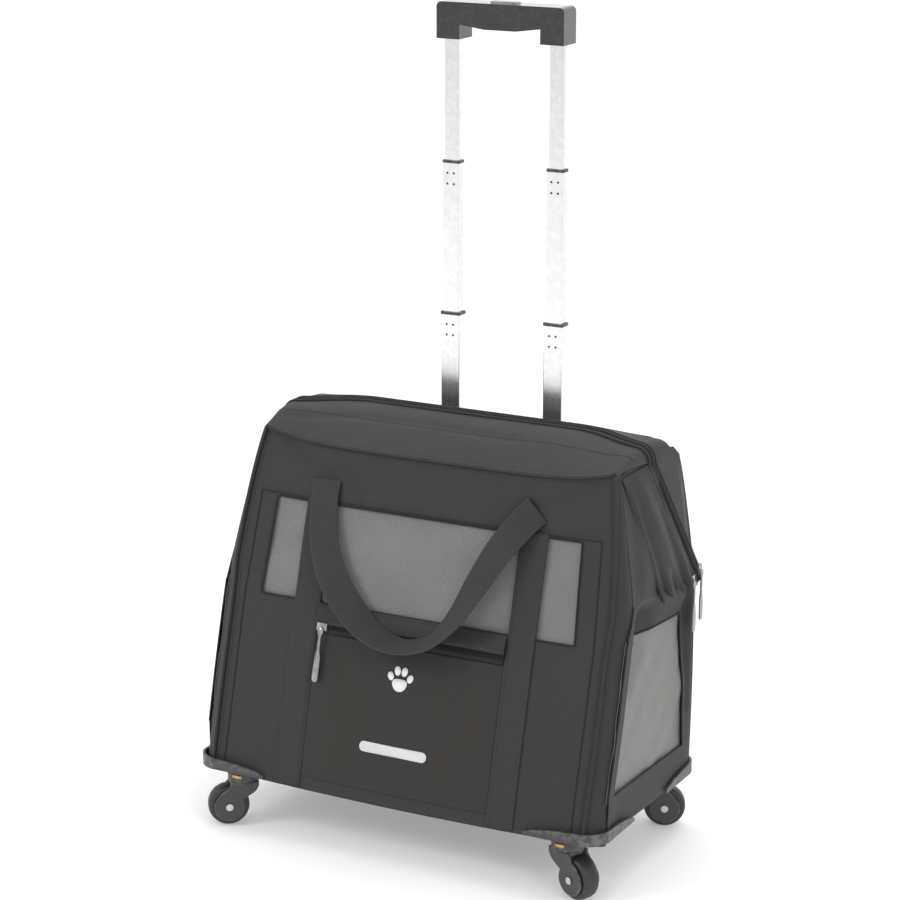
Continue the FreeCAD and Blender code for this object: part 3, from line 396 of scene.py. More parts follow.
class Groups:
    """The shader node groups that several finishes share, each built once."""

    def __init__(self) -> None:
        """Builds the groups."""
        self.weave = self._weave()
        self.net = self._net()
        self.grain = self._grain()
        self.wear = self._wear()
        self.dust = self._dust()

    @staticmethod
    def _group(name: str, inputs: dict, outputs: tuple) -> tuple:
        """An empty group with its named sockets.

        Args:
            name: the group's name.
            inputs: the kind of socket for each input's name.
            outputs: the names of its outputs, all numbers.

        Returns:
            The tree, its graph, the input node and the output node.
        """
        tree = bpy.data.node_groups.new(name, "ShaderNodeTree")
        for socket, kind in inputs.items():
            tree.interface.new_socket(socket, in_out="INPUT", socket_type=kind)
        for socket in outputs:
            tree.interface.new_socket(socket, in_out="OUTPUT", socket_type="NodeSocketFloat")
        graph = Graph(tree)
        return tree, graph, graph.add("NodeGroupInput").outputs, graph.add("NodeGroupOutput").inputs

    def _weave(self) -> bpy.types.NodeTree:
        """A plain weave: rounded threads that pass over and under, turn about, and vary in tone."""
        sockets = {"Vector": "NodeSocketVector", "Threads": "NodeSocketFloat"}
        tree, g, given, result = self._group("weave", sockets, ("Height", "Tone"))
        scaled = g.add("ShaderNodeVectorMath", {0: given["Vector"]}, operation="SCALE")
        tree.links.new(given["Threads"], scaled.inputs["Scale"])
        split = g.add("ShaderNodeSeparateXYZ", {0: scaled.outputs[0]}).outputs
        over = [g.math("FLOOR", split[k]) for k in range(2)]
        hump = [g.math("SINE", g.math("MULTIPLY", g.math("FRACT", split[k]), math.pi)) for k in range(2)]
        turn = g.math("MODULO", g.math("ABSOLUTE", g.math("ADD", over[0], over[1])), 2.0)
        warp = g.math("MULTIPLY", hump[0], g.math("MULTIPLY_ADD", hump[1], 0.5, 0.5))
        weft = g.math("MULTIPLY", hump[1], g.math("MULTIPLY_ADD", hump[0], 0.5, 0.5))
        rest = g.math("MULTIPLY", weft, g.math("SUBTRACT", 1.0, turn))
        height = g.math("MULTIPLY_ADD", warp, turn, rest)
        tree.links.new(height, result["Height"])
        tree.links.new(g.noise(scaled.outputs[0], 0.22, 4), result["Tone"])
        return tree

    def _net(self) -> bpy.types.NodeTree:
        """A knitted net: diamond holes between rounded threads."""
        sockets = {"Vector": "NodeSocketVector", "Holes": "NodeSocketFloat"}
        tree, g, given, result = self._group("net", sockets, ("Cover", "Height"))
        scaled = g.add("ShaderNodeVectorMath", {0: given["Vector"]}, operation="SCALE")
        tree.links.new(given["Holes"], scaled.inputs["Scale"])
        split = g.add("ShaderNodeSeparateXYZ", {0: scaled.outputs[0]}).outputs
        ends = []
        for sign in ("ADD", "SUBTRACT"):
            part = g.math("FRACT", g.math(sign, split[0], split[1]))
            ends.append(g.math("ABSOLUTE", g.math("SUBTRACT", part, 0.5)))
        far = g.math("MAXIMUM", ends[0], ends[1])
        tree.links.new(g.ramp(far, 0.2, 0.26), result["Cover"])
        hump = g.math("SINE", g.math("MULTIPLY", g.ramp(far, 0.2, 0.5), math.pi))
        tree.links.new(hump, result["Height"])
        return tree

    def _grain(self) -> bpy.types.NodeTree:
        """The fine cells of a moulded surface over a slower unevenness."""
        sockets = {"Vector": "NodeSocketVector", "Fineness": "NodeSocketFloat"}
        tree, g, given, result = self._group("grain", sockets, ("Height", "Tone"))
        cells = g.add("ShaderNodeTexVoronoi", {"Vector": given["Vector"], "Scale": given["Fineness"]})
        fine = g.noise(given["Vector"], 900.0, 2)
        height = g.math("MULTIPLY_ADD", cells.outputs["Distance"], 0.7, g.math("MULTIPLY", fine, 0.3))
        tree.links.new(height, result["Height"])
        tree.links.new(g.noise(given["Vector"], 24.0, 5), result["Tone"])
        return tree

    def _wear(self) -> bpy.types.NodeTree:
        """Rubbed edges: where the surface bends outwards, broken up by noise."""
        sockets = {"Vector": "NodeSocketVector", "Reach": "NodeSocketFloat"}
        tree, g, given, result = self._group("edge wear", sockets, ("Mask",))
        bend = g.add("ShaderNodeNewGeometry").outputs["Pointiness"]
        edge = g.ramp(bend, 0.51, 0.58)
        patches = g.ramp(g.noise(given["Vector"], 160.0, 4), 0.42, 0.62)
        mask = g.math("MULTIPLY", g.math("MULTIPLY", edge, patches), given["Reach"])
        tree.links.new(g.math("MINIMUM", mask, 1.0), result["Mask"])
        return tree

    def _dust(self) -> bpy.types.NodeTree:
        """A thin uneven film on the faces that look up."""
        sockets = {"Vector": "NodeSocketVector", "Amount": "NodeSocketFloat"}
        tree, g, given, result = self._group("dust", sockets, ("Mask",))
        facing = g.add("ShaderNodeNewGeometry").outputs["Normal"]
        up = g.ramp(g.add("ShaderNodeSeparateXYZ", {0: facing}).outputs[2], 0.2, 1.0)
        film = g.math("MULTIPLY", up, g.noise(given["Vector"], 60.0, 5))
        tree.links.new(g.math("MULTIPLY", film, given["Amount"]), result["Mask"])
        return tree


class Place(Enum):
    """Where a pattern's coordinates come from."""

    CLOTH = "UV"
    SOLID = "Object"


class Finish:
    """A finish makes one material: a shader with its own coordinates and bump."""

    def start(self, name: str, place: Place) -> tuple:
        """A new material.

        Args:
            name: the material's name.
            place: what its patterns follow.

        Returns:
            The material, its graph, its shader and the coordinates.
        """
        material = bpy.data.materials.new(name)
        material.use_nodes = True
        graph = Graph(material.node_tree)
        shader = material.node_tree.nodes["Principled BSDF"]
        return material, graph, shader, graph.add("ShaderNodeTexCoord").outputs[place.value]

    def bump(
        self, graph: Graph, shader: bpy.types.Node, height: object, strength: float, deep: float
    ) -> None:
        """Raises the surface by a height of so many metres."""
        inputs = {"Height": height, "Strength": strength, "Distance": deep}
        graph.tree.links.new(graph.add("ShaderNodeBump", inputs).outputs[0], shader.inputs["Normal"])


def grey(value: float, warm: float = 0.0) -> tuple:
    """A grey of that linear brightness, a little warm or cool."""
    return (value * (1 + warm), value, value * (1 - warm), 1.0)


@dataclass(frozen=True)
class Cloth(Finish):
    """Coated woven polyester: a fine plain weave, faded a little and matt."""

    name: str
    tone: float
    threads: float = 900.0
    raised: float = 0.00012
    roughness: float = 0.66
    sheen: float = 0.06
    warm: float = 0.0
    place: Place = Place.CLOTH

    def make(self, groups: Groups) -> bpy.types.Material:
        """The material."""
        material, g, shader, at = self.start(self.name, self.place)
        inputs = {"Vector": at, "Threads": self.threads}
        weave = g.add("ShaderNodeGroup", node_tree=groups.weave)
        for name, value in inputs.items():
            if isinstance(value, bpy.types.NodeSocket):
                g.tree.links.new(value, weave.inputs[name])
            else:
                weave.inputs[name].default_value = value
        fade = g.noise(at, 9.0, 6)
        dark, light = grey(self.tone * 0.72, self.warm), grey(self.tone * 1.35, self.warm)
        body = g.mix(g.ramp(weave.outputs["Height"], 0.0, 1.0), dark, light)
        worn = g.mix(g.ramp(fade, 0.35, 0.75), body, grey(self.tone * 1.25, self.warm))
        toned = g.mix(g.math("MULTIPLY", weave.outputs["Tone"], 0.5), worn, dark)
        g.tree.links.new(toned, shader.inputs["Base Color"])
        rough = g.math("MULTIPLY_ADD", fade, 0.16, self.roughness - 0.08)
        g.tree.links.new(rough, shader.inputs["Roughness"])
        shader.inputs["Sheen Weight"].default_value = self.sheen
        shader.inputs["Sheen Roughness"].default_value = 0.45
        shader.inputs["Specular IOR Level"].default_value = 0.35
        self.bump(g, shader, weave.outputs["Height"], 0.6, self.raised)
        return material


@dataclass(frozen=True)
class Net(Finish):
    """Knitted window mesh: pale threads round diamond holes."""

    name: str
    tone: float
    holes: float = 360.0

    def make(self, groups: Groups) -> bpy.types.Material:
        """The material."""
        material, g, shader, at = self.start(self.name, Place.CLOTH)
        net = g.add("ShaderNodeGroup", node_tree=groups.net)
        g.tree.links.new(at, net.inputs["Vector"])
        net.inputs["Holes"].default_value = self.holes
        fade = g.noise(at, 14.0, 4)
        body = g.mix(g.ramp(fade, 0.3, 0.7), grey(self.tone * 0.9, 0.02), grey(self.tone * 1.12, 0.03))
        shade = g.mix(net.outputs["Height"], grey(self.tone * 0.75, 0.02), body)
        g.tree.links.new(shade, shader.inputs["Base Color"])
        g.tree.links.new(net.outputs["Cover"], shader.inputs["Alpha"])
        g.tree.links.new(g.ramp(fade, -0.6, 1.9), shader.inputs["Roughness"])
        shader.inputs["Sheen Weight"].default_value = 0.1
        self.bump(g, shader, net.outputs["Height"], 0.5, 0.0002)
        return material


@dataclass(frozen=True)
class Webbing(Finish):
    """Woven strap: ribs across it, two lengthwise grooves by the edges, and a painted highlight on the rims.
    """

    name: str
    tone: float
    ribs: float = 620.0
    half_width: float = 0.017

    def make(self, groups: Groups) -> bpy.types.Material:
        """The material."""
        material, g, shader, at = self.start(self.name, Place.CLOTH)
        split = g.add("ShaderNodeSeparateXYZ", {0: at}).outputs
        weave = g.add("ShaderNodeGroup", node_tree=groups.weave)
        stretched = g.add("ShaderNodeMapping", {"Vector": at, "Scale": (1.6, 1.0, 1.0)})
        g.tree.links.new(stretched.outputs[0], weave.inputs["Vector"])
        weave.inputs["Threads"].default_value = self.ribs
        edge = g.ramp(g.math("ABSOLUTE", split[0]), self.half_width * 0.8, self.half_width)
        fade = g.noise(at, 22.0, 4)
        body = g.mix(weave.outputs["Height"], grey(self.tone * 0.6), grey(self.tone * 1.5))
        aged = g.mix(g.math("MULTIPLY", fade, 0.5), body, grey(self.tone * 1.3))
        # painted highlight: the outer rims are lightened to stand for light catching the strap's edges
        rim = g.mix(g.math("MULTIPLY", edge, 0.35), aged, grey(self.tone * 2.2))
        g.tree.links.new(rim, shader.inputs["Base Color"])
        g.tree.links.new(g.ramp(fade, -1.6, 1.4), shader.inputs["Roughness"])
        shader.inputs["Sheen Weight"].default_value = 0.08
        height = g.math("SUBTRACT", weave.outputs["Height"], g.math("MULTIPLY", edge, 0.8))
        self.bump(g, shader, height, 0.7, 0.0003)
        return material


@dataclass(frozen=True)
class Moulded(Finish):
    """Moulded plastic or rubber: fine grain, rubbed edges and a film of dust."""

    name: str
    tone: float
    roughness: float = 0.45
    grain: float = 1400.0
    raised: float = 0.00006
    edge_tone: float = 0.14
    edge_reach: float = 0.7
    dust: float = 0.06
    coat: float = 0.0
    metallic: float = 0.0
    warm: float = 0.0

    def make(self, groups: Groups) -> bpy.types.Material:
        """The material."""
        material, g, shader, at = self.start(self.name, Place.SOLID)
        nodes = {}
        for key, value in (("grain", ("Fineness", self.grain)), ("wear", ("Reach", self.edge_reach)),
                           ("dust", ("Amount", self.dust))):
            nodes[key] = g.add("ShaderNodeGroup", node_tree=getattr(groups, key))
            g.tree.links.new(at, nodes[key].inputs["Vector"])
            nodes[key].inputs[value[0]].default_value = value[1]
        tone = nodes["grain"].outputs["Tone"]
        body = g.mix(tone, grey(self.tone * 0.85, self.warm), grey(self.tone * 1.15, self.warm))
        worn = g.mix(nodes["wear"].outputs["Mask"], body, grey(self.edge_tone, self.warm))
        dusty = g.mix(nodes["dust"].outputs["Mask"], worn, grey(0.4, 0.05))
        g.tree.links.new(dusty, shader.inputs["Base Color"])
        rough = g.math("MULTIPLY_ADD", tone, 0.14, self.roughness - 0.07)
        g.tree.links.new(rough, shader.inputs["Roughness"])
        shader.inputs["Coat Weight"].default_value = self.coat
        shader.inputs["Coat Roughness"].default_value = 0.06
        shader.inputs["Metallic"].default_value = self.metallic
        self.bump(g, shader, nodes["grain"].outputs["Height"], 0.4, self.raised)
        return material


@dataclass(frozen=True)
class Brushed(Finish):
    """Drawn metal: fine lengthwise scratches that stretch along Z."""

    name: str
    tone: float
    roughness: float = 0.24
    across: float = 900.0
    along: float = 6.0
    warm: float = -0.01

    def make(self, groups: Groups) -> bpy.types.Material:
        """The material."""
        material, g, shader, at = self.start(self.name, Place.SOLID)
        scale = (self.across, self.across, self.along)
        stretched = g.add("ShaderNodeMapping", {"Vector": at, "Scale": scale}).outputs[0]
        lines = g.noise(stretched, 1.0, 3)
        wear = g.add("ShaderNodeGroup", node_tree=groups.wear)
        g.tree.links.new(at, wear.inputs["Vector"])
        wear.inputs["Reach"].default_value = 0.5
        body = g.mix(g.ramp(lines, 0.3, 0.7), grey(self.tone * 0.94, self.warm), grey(self.tone, self.warm))
        worn = g.mix(wear.outputs["Mask"], body, grey(min(1.0, self.tone * 1.1), self.warm))
        g.tree.links.new(worn, shader.inputs["Base Color"])
        roughness = g.math("MULTIPLY_ADD", lines, 0.16, self.roughness - 0.08)
        g.tree.links.new(roughness, shader.inputs["Roughness"])
        shader.inputs["Metallic"].default_value = 1.0
        self.bump(g, shader, lines, 0.12, 0.00003)
        return material


@dataclass
class Wardrobe:
    """Every finish of the carrier, made once."""

    groups: Groups = field(default_factory=Groups)
    made: dict = field(default_factory=dict)

    def finishes(self) -> dict:
        """The finishes by name."""
        return {
            "shell": Cloth("shell_cloth", 0.030),
            # painted light: the flap's cloth is the shell's cloth with a lighter tone, standing for the light
            # that falls on the top
            "flap": Cloth("shell_cloth_painted_top_light", 0.040),
            "pocket": Cloth("pocket_cloth", 0.026, warm=0.06),
            "lining": Cloth("lining_fleece", 0.12, threads=420, raised=0.0004, roughness=0.9, sheen=0.4),
            "tape": Cloth("zip_tape", 0.014, threads=1400),
            "thread": Cloth("sewing_thread", 0.05, threads=2600, place=Place.SOLID),
            "pale_thread": Cloth("pale_thread", 0.24, threads=2600, place=Place.SOLID),
            "mesh": Net("window_mesh", 0.25),
            "webbing": Webbing("strap_webbing", 0.020),
            "piping": Cloth("piping_cloth", 0.022, threads=1100, roughness=0.45),
            "handle": Moulded("handle_plastic", 0.02, 0.4, dust=0.02),
            "grip": Moulded("grip_gloss", 0.012, 0.16, edge_tone=0.03, coat=0.8, dust=0.0, raised=0.00001),
            "button": Moulded("button_silver", 0.34, 0.28, edge_tone=0.5, metallic=0.6, dust=0.0),
            "caster": Moulded("caster_plastic", 0.045, 0.36, edge_tone=0.16, dust=0.02),
            "tyre": Moulded("tyre_rubber", 0.024, 0.5, grain=700, edge_tone=0.05, dust=0.03),
            "board": Moulded("board_plastic", 0.05, 0.6),
            "aluminium": Brushed("aluminium", 0.86),
            "steel": Brushed("steel", 0.6, 0.3),
            "zip_metal": Moulded("zip_nickel", 0.32, 0.3, edge_tone=0.6, metallic=0.75, dust=0.0, grain=2600),
            "copper": Moulded("copper_plate", 0.3, 0.3, edge_tone=0.5, metallic=0.9, dust=0.0, warm=0.55),
            "reflector": Moulded("reflective_label", 0.68, 0.35, grain=2200, edge_tone=0.8, dust=0.0),
            "white": Moulded("white_print", 0.85, 0.5, edge_tone=0.9, dust=0.0),
            "hole": Moulded("dark_hole", 0.02, 0.8, dust=0.0),
        }

    def __getitem__(self, name: str) -> bpy.types.Material:
        """The material of that finish."""
        if name not in self.made:
            self.made[name] = self.finishes()[name].make(self.groups)
        return self.made[name]


# ---------------------------------------------------------------- the bag's form


@dataclass
class BagForm:
    """The soft outer form of the bag, from the frame's boxes, in millimetres.

    A point of the front is given by x and by s, the distance up the leaning wall. A point of an end is
    given by y and z. Lift is how far a point stands off the cloth.
    """

    half: float = 0.0
    front: float = 0.0
    floor: float = 0.0
    piping_back: float = 0.0
    piping_high: float = 0.0
    ridge_back: float = 0.0
    ridge_high: float = 0.0
    back: float = 0.0
    back_high: float = 0.0
    knee: float = 0.0
    corner: float = 23.0
    top_corner: float = 5.0
    piping_sag: float = 14.0
    ridge_half: float = 223.0
    piping_half: float = 214.0
    zip_forward: float = 26.0
    billow: float = 4.0

    def __post_init__(self) -> None:
        """Reads the driving sizes from the frame."""
        panel_low, _ = box_mm("front_panel")
        end_low, end_high = box_mm("end_panel_right")
        back_low, back_high = box_mm("back_panel")
        front_low, front_high = box_mm("front_frame")
        rear_low, _ = box_mm("back_frame")
        self.half, self.front = end_high[0], panel_low[1]
        self.floor = box_mm("bottom_cover")[0][2]
        fold = joint_mm("top_flap_fold")
        self.piping_back, self.piping_high = fold[1], fold[2]
        self.ridge_back, self.ridge_high = (front_low[1] + rear_low[1]) / 2 + 2, front_high[2] + 3.5
        self.back, self.back_high = back_high[1], back_high[2]
        self.knee = joint_mm("mouth_open")[2]

    @property
    def lean(self) -> float:
        """The angle by which the front wall leans back, in radians."""
        return math.atan2(self.piping_back - self.front, self.piping_high - self.floor)

    @property
    def height(self) -> float:
        """The length of the front wall from its bottom edge to the piping."""
        return math.hypot(self.piping_back - self.front, self.piping_high - self.floor)

    @property
    def normal(self) -> Array:
        """The direction in which the front wall faces."""
        return np.array([0.0, -math.cos(self.lean), math.sin(self.lean)])

    @property
    def up(self) -> Array:
        """The direction up the front wall."""
        return np.array([0.0, math.sin(self.lean), math.cos(self.lean)])

    def width_at(self, z: Array, top: float | None = None) -> Array:
        """Half the bag's width at a height: full up to the knee, then drawn in towards the top."""
        z = np.asarray(z, float)
        top = self.piping_half if top is None else top
        share = np.clip((z - self.knee) / (self.piping_high - self.knee), 0, 1.1)
        low = np.clip((z - self.floor) / (self.knee - self.floor), 0, 1)
        return self.half + 1.5 * np.sin(np.pi * low) - (self.half - top) * share**1.15

    def radius_at(self, s: Array) -> Array:
        """The corner's radius up the front wall: round below, tight where the piping ends."""
        return self.top_corner + (self.corner - self.top_corner) * (1 - step(s, 180, self.height))

    def front_point(self, x: Array, s: Array, lift: Array | float = 0.0) -> Array:
        """A point of the front cloth.

        The wall is a leaning plane. Its top edge hangs lower between the corners, it billows a few
        millimetres, and shallow dents run down from the upper corners.

        Args:
            x: the place across.
            s: the place up the wall.
            lift: how far the point stands off the cloth.

        Returns:
            The points, with x, y and z in the last axis.
        """
        x, s, lift = np.broadcast_arrays(*(np.asarray(v, float) for v in (x, s, lift)))
        share = np.clip(s / self.height, 0, 1)
        sag = self.piping_sag * (1 - np.clip(np.abs(x) / self.piping_half, 0, 1) ** 5) * share**10
        fall = 4.0 * np.cos(np.pi * np.clip(x / (2 * self.half), -0.5, 0.5)) * (1 - share) ** 6
        along = s - sag - fall
        room = np.clip(1 - (np.abs(x) / (self.half - 12)) ** 4, 0, 1)
        out = self.billow * room * np.sin(np.pi * share) ** 0.8
        out = out + 1.1 * room * ripple(x, s, 170, 3) * np.sin(np.pi * share)
        out = out - 3.2 * groove(x, s, [(-178, 378), (-150, 362), (-122, 344)], 9)
        out = out - 3.4 * groove(x, s, [(-104, 352), (-88, 340), (-77, 322)], 8)
        out = out - 2.6 * groove(x, s, [(196, 380), (160, 350), (120, 342)], 9)
        out = out - 1.5 * groove(x, s, [(-60, 150), (-40, 90), (-55, 30)], 22)
        out = out - 1.3 * groove(x, s, [(70, 160), (84, 100), (66, 40)], 20)
        out = (out + lift)[..., None]
        base = np.stack([x, np.full_like(x, self.front), np.full_like(x, self.floor)], axis=-1)
        return base + along[..., None] * self.up + out * self.normal

    def front_edge(self, s: Array, turn: Array, side: int) -> Array:
        """A point of the rounded corner beside the front wall; turn is 0 on the wall."""
        s, turn = np.broadcast_arrays(np.asarray(s, float), np.asarray(turn, float))
        radius = self.radius_at(s)
        z = self.floor + s * math.cos(self.lean)
        x = self.width_at(z) - radius * (1 - np.sin(turn))
        return self.front_point(side * x, s, -radius * (1 - np.cos(turn)))

    def zip_back(self, x: Array) -> Array:
        """How far back the mouth's zip lies on the ridge: it bends forwards near its ends."""
        return self.ridge_back - self.zip_forward * step(np.abs(x), 125, self.ridge_half - 6)

    def end_lines(self) -> tuple[list, list]:
        """The front edge and the zip edge of the cloth that hangs over an end, as (y, z) points."""
        fold = [(self.piping_back + 3, 432), (-13, 405), (-4, 371), (8, 330), (17, 296)]
        start = (self.zip_back(self.ridge_half), 437)
        seam = [start, (46, 415), (60, 385), (84, 343), (104, 308), (117, 290)]
        return fold, seam

    def end_depth(self, y: Array, z: Array) -> Array:
        """How far the cloth of an end stands inside or outside its flat plane.

        The window folds in along a line that rises from its low front corner, the cloth above it hangs
        over, and soft folds run down from the top corner.
        """
        y, z = np.broadcast_arrays(np.asarray(y, float), np.asarray(z, float))
        edge = self.front + (z - self.floor) * math.tan(self.lean) + self.corner
        inner = step(y - edge, 0, 26) * (1 - step(y, 96, 110))
        across = (-(y + 114) * 150 + (z - 112) * 122) / 193.4
        folded = 0.30 * np.logaddexp(0, across / 3.0) * 3.0
        low = 1 - step(z, 272 + 12 * np.sin((y + 70) / 38.0), 292 + 12 * np.sin((y + 70) / 38.0))
        out = -folded * low
        out = out - 5.0 * low * step(z, 130, 262)
        high = step(z, 292, 320)
        out = out + 2.5 * high * (1 - step(z, 380, 440))
        out = out - 7.5 * high * groove(y, z, [(-20, 430), (-34, 380), (-44, 330)], 7)
        out = out + 3.0 * high * groove(y, z, [(-26, 420), (-48, 360), (-62, 312)], 8)
        out = out - 3.0 * groove(y, z, [(104, 300), (96, 250), (100, 150)], 8)
        out = out + 1.2 * ripple(y, z, 85, 11)
        return out * inner

    def end_point(self, side: int, y: Array, z: Array, lift: Array | float = 0.0) -> Array:
        """A point of the cloth of an end.

        Args:
            side: LEFT or RIGHT.
            y: the place from front to back.
            z: the height.
            lift: how far the point stands off the cloth.

        Returns:
            The points, with x, y and z in the last axis.
        """
        y, z, lift = np.broadcast_arrays(*(np.asarray(v, float) for v in (y, z, lift)))
        rear = step(y, self.piping_back, self.ridge_back)
        top = self.piping_half + (self.ridge_half - self.piping_half) * rear
        share = np.clip((z - self.knee) / (self.piping_high - self.knee), 0, 1.1)
        low = np.clip((z - self.floor) / (self.knee - self.floor), 0, 1)
        width = self.half + 1.5 * np.sin(np.pi * low) - (self.half - top) * share**1.15
        x = width + self.end_depth(y, z) + lift
        return np.stack([side * x, y, z], axis=-1)


@dataclass
class Studio:
    """The pale floor, the soft lights and the camera."""

    azimuth: float = 28.17
    elevation: float = 15.45
    distance: float = 2.9336
    lens: float = 109.0
    aim: tuple = (-0.0061, 0.0, 0.4290)
    shift: tuple = (0.0094, 0.001)

    def build(self) -> None:
        """Makes the backdrop, the lights and the camera."""
        self.backdrop()
        self.lights()
        self.camera()
        log.info("studio: backdrop, lights and camera")

    def backdrop(self) -> None:
        """A floor that curves up behind the object in a quarter circle."""
        radius, reach, wide = 1.2, 2.6, 5.0
        turn = np.linspace(0, np.pi / 2, 24)
        y = np.concatenate([[-5.5], reach + radius * np.sin(turn), [reach + radius]])
        z = np.concatenate([[0.0], radius * (1 - np.cos(turn)), [5.0]])
        x = np.linspace(-wide, wide, 3)
        points = np.stack(np.broadcast_arrays(x[None], y[:, None], z[:, None]), axis=-1)
        material = bpy.data.materials.new("backdrop_paper")
        material.use_nodes = True
        shader = material.node_tree.nodes["Principled BSDF"]
        shader.inputs["Base Color"].default_value = grey(0.93)
        shader.inputs["Roughness"].default_value = 0.9
        shader.inputs["Emission Color"].default_value = grey(1.0)
        shader.inputs["Emission Strength"].default_value = 0.22
        floor = put_mesh(
            "backdrop", points / MM, grid_faces(len(y), len(x)), material, inside=(0, 3000, -3000)
        )

    def lights(self) -> None:
        """A bright even surround and three large soft lamps."""
        world = bpy.data.worlds.new("surround")
        world.use_nodes = True
        world.node_tree.nodes["Background"].inputs["Color"].default_value = (1.0, 1.0, 1.0, 1.0)
        world.node_tree.nodes["Background"].inputs["Strength"].default_value = 0.72
        bpy.context.scene.world = world
        for name, place, size, power in (
            ("key", (-2.2, -2.4, 2.4), 1.2, 30.0),
            ("fill", (2.6, -1.6, 1.7), 1.0, 16.0),
            ("top", (0.2, 0.5, 2.8), 1.8, 20.0),
        ):
            data = bpy.data.lights.new(name, "AREA")
            data.energy, data.size = power, size
            lamp = bpy.data.objects.new(name, data)
            lamp.location = place
            lamp.rotation_euler = (Vector((0, 0, 0.35)) - Vector(place)).to_track_quat("-Z", "Y").to_euler()
            bpy.context.scene.collection.objects.link(lamp)

    def camera(self) -> None:
        """The camera looks down a little from the front right."""
        turn, rise = math.radians(self.azimuth), math.radians(self.elevation)
        back = Vector((math.sin(turn) * math.cos(rise), -math.cos(turn) * math.cos(rise), math.sin(rise)))
        data = bpy.data.cameras.new("camera")
        data.lens, data.sensor_width = self.lens, 36.0
        data.shift_x, data.shift_y = self.shift
        eye = bpy.data.objects.new("camera", data)
        eye.location = Vector(self.aim) + back * self.distance
        eye.rotation_euler = back.to_track_quat("Z", "Y").to_euler()
        bpy.context.scene.collection.objects.link(eye)
        bpy.context.scene.camera = eye
        bpy.context.scene.view_settings.view_transform = "Standard"


# ---------------------------------------------------------------- the bag's walls


